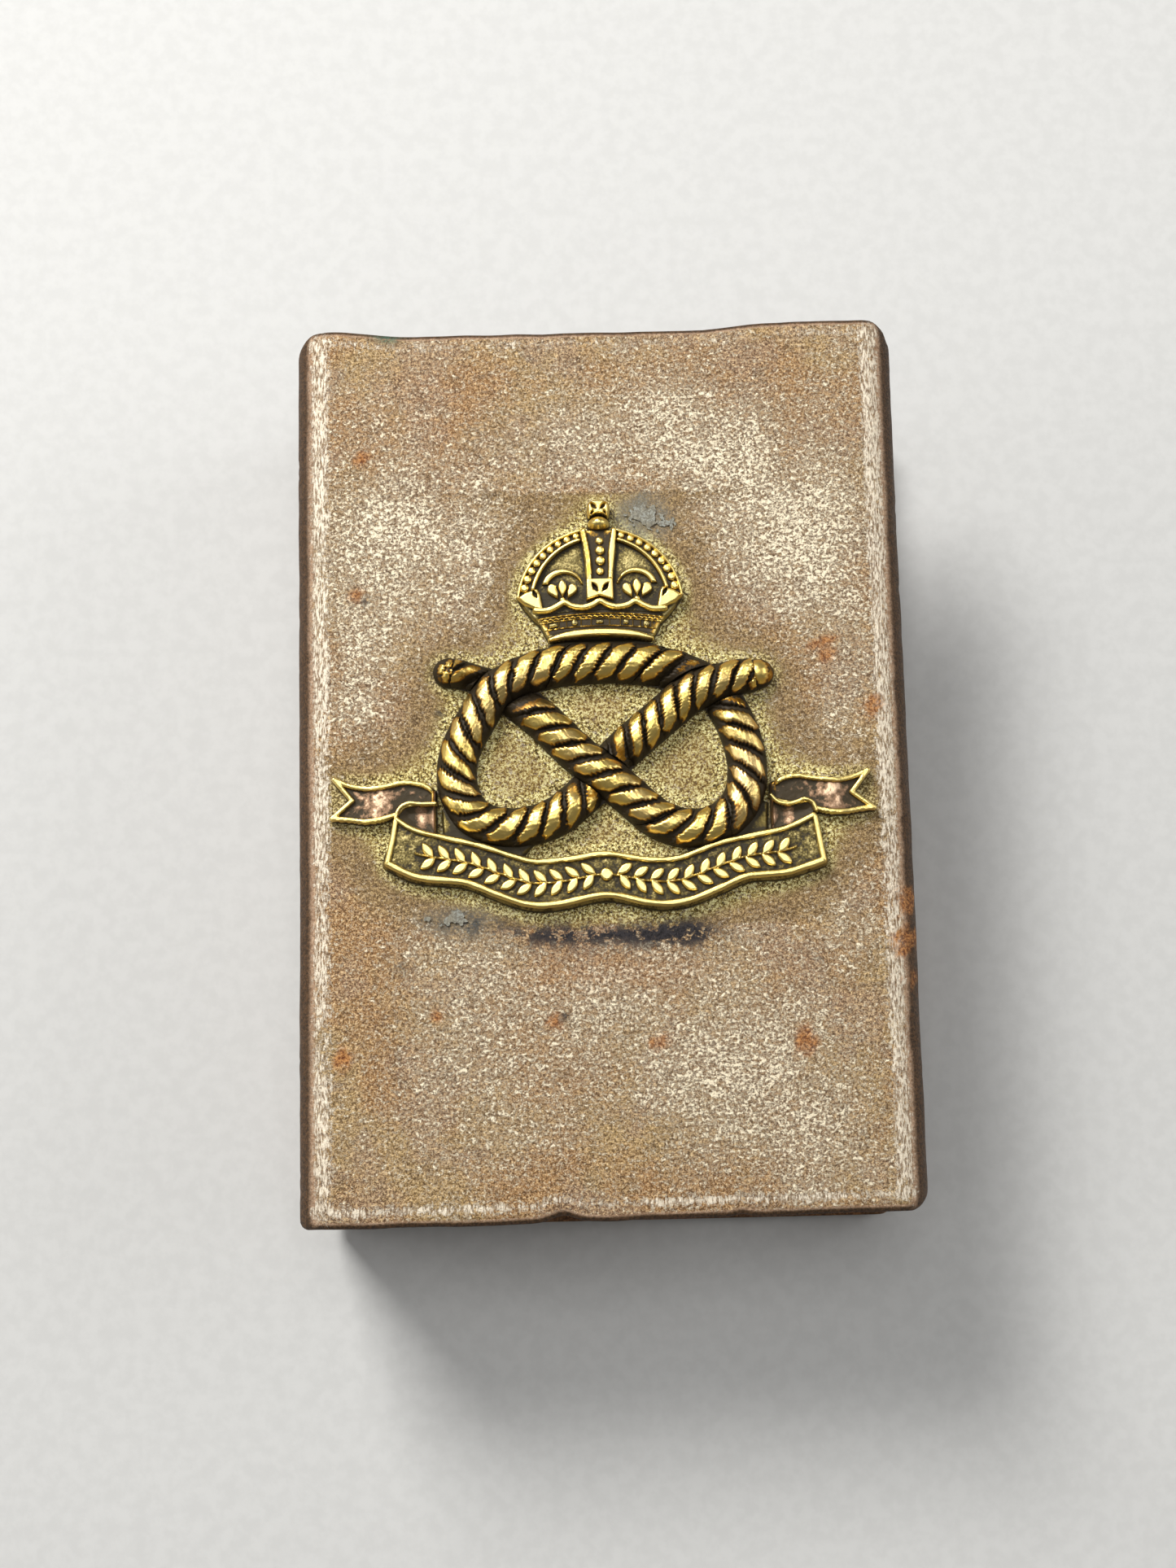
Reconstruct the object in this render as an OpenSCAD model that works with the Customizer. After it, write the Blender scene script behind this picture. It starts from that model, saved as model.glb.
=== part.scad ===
// Trench-art matchbox cover: a bent steel sleeve with a small brass badge
// (a crown, a rope knot and a ribbon scroll) soldered to its front.
// Origin: centre of the back face, +Y towards the crown, +Z out of the front.

/* [Sleeve] */
// Width of the sleeve, bend to bend
case_w = 40; // [38:0.5:44]
// Length of the sleeve, open end to open end
case_l = 59.2; // [57:0.2:64]
// Depth of the sleeve, back to front
case_h = 19.5; // [17.5:0.5:22]
// Thickness of the sheet steel
sheet = 0.9; // [0.6:0.1:1.2]
// Outside radius of the four bends
bend_r = 2.3; // [1.8:0.1:3]
// Depth of the front lip beside the striker window
front_lip = 4.8; // [3:0.2:6]
// Depth of the back lip beside the striker window
back_lip = 4.6; // [3:0.2:6]

/* [Badge heights] */
// Thickness of the solder film under the badge
film_t = 0.12; // [0.1:0.02:0.2]
// Top of the thin webs that join the rope to the scroll and the crown
web_top = 0.45; // [0.3:0.05:0.6]
// Top of the scroll's ground
scroll_top = 0.75; // [0.6:0.05:0.9]
// Top of the scroll's tails
tail_top = 0.55; // [0.4:0.05:0.6]
// Top of the crown's ground
crown_top = 0.7; // [0.6:0.05:0.8]
// Height of a rim above the ground that it stands on
rim_h = 0.28; // [0.2:0.02:0.35]
// Top of the rope
rope_top = 2; // [1.6:0.1:2.2]

/* [Rope] */
// Width of the rope
rope_w = 2.5; // [2.2:0.1:2.6]
// Width of the knob at each rope end
knob_w = 2; // [1.6:0.1:2.2]

/* [Scroll] */
// Width of a rim line
rim_w = 0.32; // [0.24:0.02:0.36]
// Pairs of laurel leaves on each side of the scroll's rosette
leaf_pairs = 11; // [7:1:11]
// Length of a laurel leaf
leaf_l = 1.2; // [0.9:0.1:1.3]
// Width of a laurel leaf
leaf_w = 0.6; // [0.4:0.05:0.7]

/* [Crown] */
// Pearls on each side arch
side_pearls = 9; // [7:1:10]
// Radius of the lowest side pearl
pearl_r = 0.25; // [0.2:0.01:0.27]

/* [Hidden] */
$fn = 48;

face_z = case_h;
film_top = face_z + film_t;
rope_half = rope_w / 2;
curve_steps = 4;
rope_steps = 3;
fit_gap = 0.02;

// The rope's centre line, from the right-hand end through both loops to the left-hand end
rope_route = [
    [9.8, 5.2], [8.2, 4.9], [5.7, 4.0], [3.5, 2.3], [1.0, 0.2], [0, -1.0], [-1.0, -2.1],
    [-3.3, -3.9], [-6.0, -4.5], [-8.3, -3.8], [-9.4, -1.9], [-9.3, 0.4], [-8.2, 2.6],
    [-6.6, 4.7], [-3.6, 5.9], [0, 6.2], [3.5, 5.9],
    [6.8, 4.7], [8.4, 2.4], [9.2, -0.4], [8.9, -2.8], [7.6, -4.3], [5.6, -4.8],
    [3.4, -4.1], [1.0, -2.0], [-1.4, 0], [-3.9, 2.5], [-5.2, 3.6],
    [-6.8, 4.8], [-8.3, 5.4], [-9.6, 5.7]
];
// Places along the route where one rope piece ends and the next begins
at_right_tip = 0;
at_centre = 5;
at_bow_left = 14;
at_bow_right = 16;
at_cross = 23;
at_left_crossing = 28;
at_left_tip = 30;

// Upper edges of the two webs under the loops, from right to left, hidden under the rope
left_web_top = [[-4.3, -5.2], [-6.0, -4.5], [-8.9, -3.0], [-10.4, -3.3]];
right_web_top = [[10.4, -3.4], [8.9, -3.0], [6.0, -4.6], [4.4, -5.2]];

// Centre lines of the two long rims of the scroll
upper_rim = [
    [-13.3, -3.9], [-12.2, -4.6], [-10.4, -5.1], [-8, -5.7], [-6, -6.4], [-4.5, -6.8], [-2.5, -6.7],
    [0, -6.4], [2.5, -6.8], [4.5, -6.8], [6, -6.3], [7.5, -5.8], [9.5, -5.4], [11.5, -5.0], [13.3, -4.2]
];
lower_rim = [
    [-13.9, -6.7], [-12, -7.6], [-9, -8.0], [-7, -8.8], [-5, -9.5], [-3, -9.5], [0, -9.0],
    [3, -9.6], [5, -9.5], [7, -8.8], [9, -8.0], [11.5, -7.8], [13.8, -7.1]
];

// Outlines of the scroll's tails and folds, anticlockwise
left_tail = [
    [-17.4, -1.0], [-17.2, -1.6], [-16.0, -2.6], [-17.6, -3.6], [-17.3, -4.1],
    [-15.4, -4.2], [-13.7, -3.8], [-13.1, -2.9], [-11.1, -2.9], [-11.1, -1.7], [-13.0, -1.2], [-15.2, -1.6]
];
right_tail = [
    [17.2, -1.0], [15.2, -1.6], [12.4, -1.3], [11.1, -1.7], [11.1, -3.1], [12.6, -2.9], [13.6, -3.6],
    [15.0, -4.2], [17.2, -4.1], [17.5, -3.8], [15.8, -2.7], [17.1, -1.5]
];
left_fold = [[-13.1, -3.2], [-13.1, -3.9], [-12.2, -4.5], [-11.0, -4.8], [-11.0, -3.0], [-12.9, -3.0]];
right_fold = [
    [10.9, -3.3], [10.9, -4.9], [12.0, -4.6], [13.2, -4.0], [13.2, -3.5], [12.4, -3.3], [11.5, -3.5]
];

// Half of the crown's outline below the arches, from the base up the right side
crown_side = [[3.4, 7.7], [3.6, 8.0], [3.9, 8.7], [4.4, 9.1], [5.0, 9.8]];
arch_centre_y = 10;
arch_a = 5.45;
arch_b = 5.15;
arch_inner_r = 4.3;
arch_low_angle = 6;
arch_high_angle = 77;
pearl_a = 5.1;
pearl_b = 4.85;
pearl_low_angle = 14;
pearl_high_angle = 73;
orb_r = 0.71;
orb_y = 15.35;

// Half of the wavy rim over the circlet, from the middle outwards
wavy_half = [
    [0, 10.2], [0.5, 9.95], [1.1, 9.8], [1.8, 9.9], [2.3, 10.15], [2.8, 9.9], [3.4, 9.65], [4.2, 9.65]
];
base_half = [[0, 8.1], [1.3, 8.05], [2.4, 7.9], [3.3, 7.65]];

// A point on a smooth curve through b and c, at t from 0 to 1
function curve_point(a, b, c, d, t) =
    b + t * (c - a) / 2
    + t * t * (2 * a - 5 * b + 4 * c - d) / 2
    + t * t * t * (3 * b - a - 3 * c + d) / 2;

// A smooth open curve through a list of points
function curve(p, steps) = [
    for (i = [0 : len(p) - 2], s = [0 : steps - 1])
        curve_point(p[max(i - 1, 0)], p[i], p[i + 1], p[min(i + 2, len(p) - 1)], s / steps),
    p[len(p) - 1]
];

// The unit direction of a path at one of its points
function heading(p, i) =
    let (d = p[min(i + 1, len(p) - 1)] - p[max(i - 1, 0)]) d / norm(d);

// The points of a path moved sideways, to its left for a positive distance
function beside(p, distance) =
    [for (i = [0 : len(p) - 1]) let (h = heading(p, i)) p[i] + distance * [-h[1], h[0]]];

function reversed(p) = [for (i = [len(p) - 1 : -1 : 0]) p[i]];
function mirrored(p) = [for (q = reversed(p)) [-q[0], q[1]]];
function slice(p, from, to) = [for (i = [from : to]) p[i]];
function ellipse_arc(a, b, y, from, to, steps) =
    [for (i = [0 : steps]) let (t = from + (to - from) * i / steps) [a * cos(t), y + b * sin(t)]];

// A flat band of constant width along a path
module band(path, width, bottom, top) {
    translate([0, 0, bottom])
        linear_extrude(top - bottom)
            polygon(concat(beside(path, width / 2), reversed(beside(path, -width / 2))));
}

// A flat plate with the given outline
module plate(outline, bottom, top) {
    translate([0, 0, bottom]) linear_extrude(top - bottom) polygon(outline);
}

// A pearl: a ball cut off flat where it meets the ground
module pearl(x, y, r, ground) {
    translate([x, y, ground])
        intersection() {
            sphere(r);
            translate([-r, -r, 0]) cube([2 * r, 2 * r, r]);
        }
}

// A leaf or petal with pointed ends, its length along Y before turning
module petal(x, y, length, width, turn, bottom, top) {
    half = [for (i = [0 : 6]) [width / 2 * sin(30 * i), length * (i / 6 - 0.5)]];
    translate([x, y, 0])
        rotate(turn)
            plate(concat(half, [for (i = [5 : -1 : 1]) [-half[i][0], half[i][1]]]), bottom, top);
}

// The rope's whole centre line, and its half-round section
rope_line = curve(rope_route, rope_steps);
rope_section = [
    for (t = [0, 0.35, 0.75, 1.25, 1.75, 2.25, 2.65, 3] * 60)
        [rope_half * cos(t), (rope_top - film_t) * sin(t)]
];

// One rope piece between two places along the route
module rope(from, to) {
    first = from * rope_steps;
    last = to * rope_steps;
    sides = len(rope_section);
    rings = [
        for (i = [first : last])
            let (h = heading(rope_line, i), c = rope_line[i])
                for (s = rope_section) [c[0] - s[0] * h[1], c[1] + s[0] * h[0], film_top + s[1]]
    ];
    walls = [
        for (r = [0 : last - first - 1], s = [0 : sides - 1])
            let (t = (s + 1) % sides, b = r * sides)
                each [[b + s, b + sides + t, b + t], [b + s, b + sides + s, b + sides + t]]
    ];
    start_cap = [for (s = [0 : sides - 1]) s];
    end_cap = [for (s = [sides - 1 : -1 : 0]) (last - first) * sides + s];
    polyhedron(rings, concat(walls, [start_cap, end_cap]));
}

// The upright block that a rope piece fills, used to cut the piece that passes under it
module rope_space(from, to) {
    line = slice(rope_line, from * rope_steps, to * rope_steps);
    band(line, rope_w + 2 * fit_gap, face_z, face_z + 2 * rope_top);
}

module case_profile(w, h, r) {
    translate([r, r]) circle(r);
    translate([w - r, r]) circle(r);
    translate([r, h - r]) circle(r);
    translate([w - r, h - r]) circle(r);
    translate([r, 0]) square([w - 2 * r, h]);
    translate([0, r]) square([w, h - 2 * r]);
}

module case_sleeve() {
    color("#6f5c49")
        translate([-case_w / 2, case_l / 2, 0])
            rotate([90, 0, 0])
                linear_extrude(case_l)
                    difference() {
                        case_profile(case_w, case_h, bend_r);
                        translate([sheet, sheet])
                            case_profile(case_w - 2 * sheet, case_h - 2 * sheet, bend_r - sheet);
                        translate([case_w - 2 * sheet, back_lip])
                            square([3 * sheet, case_h - front_lip - back_lip]);
                    }
}

// The part of the scroll's upper edge that a web stands on
function web_foot(from, to) =
    [for (q = curve(upper_rim, curve_steps)) if (q[0] > from && q[0] < to) q + [0, fit_gap]];

// Outlines of the webs under the two loops and of the web between the bow and the crown
web_outlines = [
    concat(web_foot(-10.4, -5.3), left_web_top),
    concat(web_foot(5.3, 10.4), right_web_top),
    [[-3.2, 6.4], [3.2, 6.4], [3.3, 7.66], [-3.3, 7.66]]
];

// Outline of the scroll's flat ground between its two rims
scroll_outline = concat(curve(lower_rim, curve_steps), reversed(curve(upper_rim, curve_steps)));

// Outline of the whole crown, its right side first
crown_outline = let (
    arch = ellipse_arc(arch_a, arch_b, arch_centre_y, arch_low_angle, arch_high_angle, 14),
    right = concat(crown_side, arch)
) concat(right, mirrored(right));

// The thin film between the sleeve and the badge
module solder_film() {
    color("#7d7a70")
        union() {
            plate(scroll_outline, face_z, film_top);
            plate(crown_outline, face_z, film_top);
            for (part = [[at_right_tip, at_bow_left], [at_bow_left, at_cross], [at_cross, at_left_tip]])
                band(
                    slice(rope_line, part[0] * rope_steps, part[1] * rope_steps),
                    rope_w - 0.2, face_z, film_top
                );
            for (outline = concat(web_outlines, [left_tail, right_tail, left_fold, right_fold]))
                plate(outline, face_z, film_top);
        }
}

// A flattened blob of solder with a wavy edge
module solder_blob(x, y, r, lobes, turn) {
    edge = [
        for (t = [0 : 15 : 345])
            let (q = r * (1 + 0.16 * sin(lobes * t + turn)))
            [q * cos(t), q * sin(t)]
    ];
    translate([x, y, 0]) plate(edge, face_z, face_z + 0.1);
}

module solder_spots() {
    color("#7f8891") {
        solder_blob(3.6, 16.2, 0.85, 3, 20);
        solder_blob(-9.8, -10.5, 0.9, 4, 60);
    }
}

// The thin webs that join the loops to the scroll and the bow to the crown
module badge_web() {
    color("#6d6647")
        difference() {
            for (outline = web_outlines) plate(outline, film_top, face_z + web_top);
            rope_space(at_centre, at_bow_right);
            rope_space(at_bow_right, at_cross + 2);
            plate(crown_outline, face_z, face_z + 2);
            plate(left_fold, face_z, face_z + 2);
            plate(right_fold, face_z, face_z + 2);
        }
}

module rope_right_end() {
    color("#c9a038")
        difference() {
            rope(at_right_tip, at_centre);
            rope_space(at_cross, at_left_crossing);
        }
}

module rope_left_loop() {
    color("#c9a038")
        difference() {
            rope(at_centre, at_bow_left);
            rope_space(at_cross, at_left_crossing - 2);
        }
}

module rope_top_bow() {
    color("#c9a038") rope(at_bow_left, at_bow_right);
}

module rope_right_loop() {
    color("#c9a038")
        difference() {
            rope(at_bow_right, at_cross);
            rope_space(at_right_tip, at_right_tip + 4);
        }
}

module rope_cross_strand() {
    color("#c9a038")
        difference() {
            rope(at_cross, at_left_crossing);
            rope_space(at_bow_left - 4, at_bow_left + 1);
        }
}

module rope_left_end() {
    color("#c9a038")
        difference() {
            rope(at_left_crossing, at_left_tip);
            rope_space(at_bow_left - 4, at_bow_left + 1);
        }
}

// The round knob on a rope end, lying along the rope and cut flat underneath
module rope_knob(tip, beyond) {
    way = (tip - beyond) / norm(tip - beyond);
    centre = tip + way * 0.35;
    color("#b58e30")
        difference() {
            translate([centre[0], centre[1], film_top])
                intersection() {
                    sphere(knob_w / 2);
                    translate([-knob_w, -knob_w, 0]) cube([2 * knob_w, 2 * knob_w, knob_w]);
                }
            translate([tip[0], tip[1], face_z])
                rotate(atan2(way[1], way[0]))
                    translate([-2 * knob_w, -knob_w, 0]) cube([2 * knob_w, 2 * knob_w, 2 * rope_top]);
        }
}

module rope_right_knob() { rope_knob(rope_line[0], rope_line[1]); }

module rope_left_knob() { rope_knob(rope_line[len(rope_line) - 1], rope_line[len(rope_line) - 2]); }

module scroll_band() {
    color("#7a6a3a") plate(scroll_outline, film_top, face_z + scroll_top);
}

module scroll_upper_rim() {
    color("#d8b24a")
        band(curve(upper_rim, curve_steps), rim_w, face_z + scroll_top, face_z + scroll_top + rim_h);
}

module scroll_lower_rim() {
    color("#d8b24a")
        band(curve(lower_rim, curve_steps), rim_w, face_z + scroll_top, face_z + scroll_top + rim_h);
}

// The short rims that close the scroll at its two ends
module scroll_end_rims() {
    top = face_z + scroll_top + rim_h;
    color("#d8b24a") {
        band([[-13.4, -4.1], [-13.6, -5.2], [-13.9, -6.5]], rim_w, face_z + scroll_top, top);
        band([[13.4, -4.4], [13.6, -5.6], [13.8, -6.9]], rim_w, face_z + scroll_top, top);
    }
}

// Middle line of the scroll, half way between its rims, where the ornament sits
function scroll_mid(x) = (lookup(x, upper_rim) + lookup(x, lower_rim)) / 2;

// A plain laurel: a rosette with a thin stem and pairs of leaves growing out on each side
module scroll_ornament() {
    reach = 12;
    pitch = reach / (leaf_pairs + 0.5);
    ground = face_z + scroll_top;
    top = ground + rim_h;
    color("#d8b24a")
        union() {
            band([for (x = [-reach : reach]) [x, scroll_mid(x)]], 0.24, ground, top);
            translate([0, scroll_mid(0), ground]) cylinder(rim_h, 0.45, 0.35);
            for (side = [-1, 1], up = [-1, 1], i = [1 : leaf_pairs]) {
                x = side * i * pitch;
                rise = scroll_mid(x + 0.1) - scroll_mid(x - 0.1);
                turn = atan2(rise, 0.2) - side * 90 + up * side * 46;
                petal(x + side * 0.25, scroll_mid(x) + up * 0.4, leaf_l, leaf_w, turn, ground, top);
            }
        }
}

// A turned-back fold of the ribbon, with a raised edge along its top
module scroll_fold(outline, edge) {
    color("#c9a548")
        union() {
            plate(outline, film_top, face_z + scroll_top);
            band(curve(edge, curve_steps), rim_w, face_z + scroll_top, face_z + scroll_top + rim_h);
        }
}

module scroll_fold_left() {
    scroll_fold(left_fold, [[-12.9, -3.3], [-12.3, -3.2], [-11.2, -3.2]]);
}

module scroll_fold_right() {
    scroll_fold(right_fold, [[11.1, -3.6], [11.6, -3.7], [12.4, -3.5], [12.9, -3.7]]);
}

// A free end of the ribbon, with raised edges along its top and bottom
module scroll_tail(outline, top_edge, low_edge) {
    ground = face_z + tail_top;
    color("#c9a548")
        union() {
            plate(outline, film_top, ground);
            band(curve(top_edge, curve_steps), rim_w, ground, ground + rim_h);
            band(curve(low_edge, curve_steps), rim_w, ground, ground + rim_h);
        }
}

module scroll_tail_left() {
    scroll_tail(
        left_tail,
        [[-17.1, -1.4], [-15.2, -1.8], [-13.0, -1.5], [-11.3, -1.9]],
        [[-17.2, -3.7], [-15.4, -3.9], [-13.8, -3.6]]
    );
}

module scroll_tail_right() {
    scroll_tail(
        right_tail,
        [[16.9, -1.4], [15.1, -1.9], [12.4, -1.6], [11.3, -1.9]],
        [[17.1, -3.8], [15.0, -4.0], [13.9, -3.6]]
    );
}

module crown_plate() {
    color("#6e5a2a") plate(crown_outline, film_top, face_z + crown_top);
}

// The broad side arch on the right, with the thin rib along its inside
module crown_arch() {
    outer = ellipse_arc(arch_a, arch_b, arch_centre_y, arch_low_angle, arch_high_angle, 14);
    inner = ellipse_arc(arch_inner_r, arch_inner_r, arch_centre_y, 14, 73, 12);
    rib = ellipse_arc(4.45, 4.45, arch_centre_y, 15, 72, 12);
    ground = face_z + crown_top;
    color("#c29a3a")
        union() {
            plate(concat(outer, reversed(inner)), ground, ground + 0.25);
            band(rib, 0.22, ground + 0.25, ground + 0.42);
        }
}

module crown_arch_right() { crown_arch(); }

module crown_arch_left() { mirror([1, 0, 0]) crown_arch(); }

module crown_arch_pearls() {
    color("#e0bd5a")
        for (side = [-1, 1], i = [0 : side_pearls - 1]) {
            t = pearl_low_angle + (pearl_high_angle - pearl_low_angle) * i / (side_pearls - 1);
            pearl(
                side * pearl_a * cos(t), arch_centre_y + pearl_b * sin(t),
                pearl_r - 0.1 * i / (side_pearls - 1), face_z + crown_top + 0.25
            );
        }
}

// The middle arch, seen face on: a hollow strap between two raised edges
module crown_centre_strap() {
    ground = face_z + crown_top;
    color("#c29a3a")
        union() {
            plate([[-0.9, 11.75], [0.9, 11.75], [1.15, 14.9], [-1.15, 14.9]], ground, ground + 0.2);
            band([[-0.72, 11.8], [-1.0, 14.85]], 0.28, ground + 0.2, ground + 0.5);
            band([[0.72, 11.8], [1.0, 14.85]], 0.28, ground + 0.2, ground + 0.5);
        }
}

module crown_centre_pearls() {
    color("#e0bd5a")
        for (p = [[12.2, 0.2], [12.9, 0.28], [13.6, 0.27], [14.2, 0.2]])
            pearl(0.05, p[0], p[1], face_z + crown_top + 0.2);
}

// The cross on the front of the circlet, with two leaf-shaped hollows
module crown_front_cross() {
    front_cross = [[0.9, 10.3], [0.88, 11.68], [-0.88, 11.68], [-0.9, 10.3], [0, 10.5]];
    ground = face_z + crown_top;
    color("#d0aa48")
        difference() {
            plate(front_cross, ground, ground + 0.5);
            petal(-0.3, 11.05, 0.75, 0.26, 32, ground + 0.2, ground + 1);
            petal(0.35, 11.05, 0.75, 0.26, -38, ground + 0.2, ground + 1);
        }
}

// The soft folds of the cap that show inside the arches
module crown_cap_folds() {
    ground = face_z + crown_top;
    color("#b8923a")
        for (side = [-1, 1])
            band([
                for (t = [15 : 15 : 165]) [side * 2.45 + 1.28 * cos(t), 11.1 + 1.28 * sin(t)]
            ], 0.26, ground, ground + 0.25);
}

// The three petals on each side of the front cross
module crown_fleurs() {
    ground = face_z + crown_top;
    color("#d0aa48")
        for (side = [-1, 1]) {
            petal(side * 3.05, 10.85, 0.8, 0.5, side * 55, ground, ground + 0.4);
            petal(side * 2.4, 11.05, 1.1, 0.45, 0, ground, ground + 0.5);
            petal(side * 1.75, 10.85, 0.9, 0.5, side * -12, ground, ground + 0.4);
        }
}

// The half crosses that show edge on at the two sides
module crown_side_crosses() {
    half = [[3.7, 9.9], [4.45, 9.85], [5.0, 9.9], [5.3, 10.5], [4.3, 11.0], [3.85, 10.75]];
    ground = face_z + crown_top;
    color("#d0aa48")
        for (outline = [half, mirrored(half)]) plate(outline, ground, ground + 0.24);
}

module crown_wavy_rim() {
    line = curve(concat(mirrored(wavy_half), slice(wavy_half, 1, len(wavy_half) - 1)), curve_steps);
    color("#dcb650") band(line, 0.26, face_z + crown_top, face_z + crown_top + 0.45);
}

// The band round the foot of the crown, between its two rims
module crown_circlet() {
    outline = [[3.5, 8.05], [3.8, 8.65], [4.2, 9.1], [3.9, 9.4], [2.2, 9.5], [0, 9.65]];
    inner = [for (x = [-3.2 : 0.8 : 3.2]) [x, 8.48 - 0.04 * x * x]];
    color("#5c4a24")
        plate(
            concat(outline, slice(mirrored(outline), 1, len(outline) - 1), inner),
            face_z + crown_top, face_z + crown_top + 0.15
        );
}

// The jewels on the circlet: alternately round and square
module crown_jewels() {
    ground = face_z + crown_top + 0.15;
    color("#e0bd5a") {
        for (x = [-1.65, 1.65]) pearl(x, 8.9, 0.22, ground);
        for (x = [-3.0, 0, 3.0])
            translate([x - 0.24, 8.85 - 0.03 * x * x / 3, ground]) cube([0.48, 0.26, 0.2]);
    }
}

module crown_base_rim() {
    line = curve(concat(mirrored(base_half), slice(base_half, 1, len(base_half) - 1)), curve_steps);
    color("#dcb650") band(line, 0.5, face_z + crown_top, face_z + crown_top + 0.5);
}

// The ball on top of the crown, standing behind the top of the arches
module crown_orb() {
    color("#d8b24a")
        intersection() {
            translate([0, orb_y, film_top]) sphere(orb_r);
            translate([-1, 15.03, film_top]) cube([2, 0.87, 2]);
        }
}

// The small cross on the ball, with two wedge-shaped hollows
module crown_cross() {
    half = [[0.3, 15.92], [0.72, 16.0], [0.72, 16.6], [0.45, 16.9], [0.15, 16.9]];
    color("#d8b24a")
        difference() {
            plate(concat(half, mirrored(half)), film_top, face_z + 1.2);
            petal(-0.28, 16.4, 0.7, 0.24, 28, face_z + 0.8, face_z + 2);
            petal(0.28, 16.4, 0.7, 0.24, -28, face_z + 0.8, face_z + 2);
        }
}

case_sleeve();
solder_film();
solder_spots();
badge_web();
rope_right_end();
rope_right_knob();
rope_left_loop();
rope_top_bow();
rope_right_loop();
rope_cross_strand();
rope_left_end();
rope_left_knob();
scroll_band();
scroll_upper_rim();
scroll_lower_rim();
scroll_end_rims();
scroll_ornament();
scroll_fold_left();
scroll_fold_right();
scroll_tail_left();
scroll_tail_right();
crown_plate();
crown_arch_left();
crown_arch_right();
crown_arch_pearls();
crown_centre_strap();
crown_centre_pearls();
crown_front_cross();
crown_cap_folds();
crown_fleurs();
crown_side_crosses();
crown_wavy_rim();
crown_circlet();
crown_jewels();
crown_base_rim();
crown_orb();
crown_cross();
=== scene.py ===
"""Looks for the badged matchbox cover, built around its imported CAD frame.

Sizes in this script are in millimetres, measured from the centre of the sleeve's front face, and
are turned into metres when a mesh is made. Each piece of the badge is a relief: a closed solid whose
outline and height are worked out on a fine grid, the way a die is cut.
"""

import math

import bpy
import numpy as np
from mathutils import Euler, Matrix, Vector


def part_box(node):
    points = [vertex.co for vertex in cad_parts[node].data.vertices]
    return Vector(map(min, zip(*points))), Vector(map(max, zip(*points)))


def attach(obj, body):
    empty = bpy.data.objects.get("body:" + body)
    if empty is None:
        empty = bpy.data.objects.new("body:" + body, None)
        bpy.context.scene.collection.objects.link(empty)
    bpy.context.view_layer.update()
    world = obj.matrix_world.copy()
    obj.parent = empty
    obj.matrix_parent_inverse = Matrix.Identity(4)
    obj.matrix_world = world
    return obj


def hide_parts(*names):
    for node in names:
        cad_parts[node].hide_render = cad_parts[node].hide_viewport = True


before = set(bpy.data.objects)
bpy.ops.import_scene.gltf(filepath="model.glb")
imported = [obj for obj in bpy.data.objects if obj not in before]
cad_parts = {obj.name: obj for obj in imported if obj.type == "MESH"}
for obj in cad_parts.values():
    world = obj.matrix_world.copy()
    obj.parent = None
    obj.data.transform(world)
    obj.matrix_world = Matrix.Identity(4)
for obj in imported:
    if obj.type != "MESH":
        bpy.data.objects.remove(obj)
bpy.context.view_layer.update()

MM = 0.001
SLEEVE_LOW, SLEEVE_HIGH = (np.array(corner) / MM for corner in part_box("case_sleeve"))
CASE_W, CASE_L, CASE_H = SLEEVE_HIGH - SLEEVE_LOW
FACE_Z = CASE_H
FILM_T = 0.12
PITCH = 0.05

# ---------- Curves and noise


def curve(points, steps=12, closed=False):
    """A smooth line through points, by the same cubic as in the CAD source."""
    p = np.array(points, float)
    n = len(p)
    line = []
    for i in range(n if closed else n - 1):
        if closed:
            a, b, c, d = p[i - 1], p[i], p[(i + 1) % n], p[(i + 2) % n]
        else:
            a, b, c, d = p[max(i - 1, 0)], p[i], p[i + 1], p[min(i + 2, n - 1)]
        for t in np.arange(steps) / steps:
            line.append(
                b + t * (c - a) / 2
                + t * t * (2 * a - 5 * b + 4 * c - d) / 2
                + t * t * t * (3 * b - a - 3 * c + d) / 2
            )
    if not closed:
        line.append(p[-1])
    return np.array(line)


def mirrored(points):
    return [(-x, y) for x, y in reversed(points)]


def ellipse_arc(a, b, y, start, end, steps=40):
    t = np.radians(np.linspace(start, end, steps))
    return np.column_stack([a * np.cos(t), y + b * np.sin(t)])


def lattice(i, j, seed):
    """A repeatable random number from 0 to 1 for each whole-numbered place, by mixing up its bits."""
    h = (i.astype(np.int64) * 374761393 + j.astype(np.int64) * 668265263 + seed * 982451653) & 0xFFFFFFFF
    h = ((h ^ (h >> 13)) * 1274126177) & 0xFFFFFFFF
    h = ((h ^ (h >> 16)) * 2246822519) & 0xFFFFFFFF
    return ((h ^ (h >> 15)) & 0xFFFFFF) / float(0xFFFFFF)


def noise(x, y, size, seed=0):
    """Smooth noise from -1 to 1 whose lumps are about size across."""
    u, v = x / size, y / size
    i, j = np.floor(u), np.floor(v)
    fu, fv = u - i, v - j
    fu, fv = fu * fu * (3 - 2 * fu), fv * fv * (3 - 2 * fv)
    low = lattice(i, j, seed) * (1 - fu) + lattice(i + 1, j, seed) * fu
    high = lattice(i, j + 1, seed) * (1 - fu) + lattice(i + 1, j + 1, seed) * fu
    return 2 * (low * (1 - fv) + high * fv) - 1


def rough_noise(x, y, size, seed=0, octaves=4):
    """Noise with finer and weaker noises added, scaled to stay about within -1 to 1."""
    total = sum(noise(x, y, size / 2 ** k, seed + k) / 2 ** k for k in range(octaves))
    return total / 1.6


def hill(x, y, middle_x, middle_y, reach_x, reach_y):
    """1 in the middle of a soft round hill, fading out over its reach each way."""
    return np.exp(-((x - middle_x) / reach_x) ** 2 - ((y - middle_y) / reach_y) ** 2)


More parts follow.
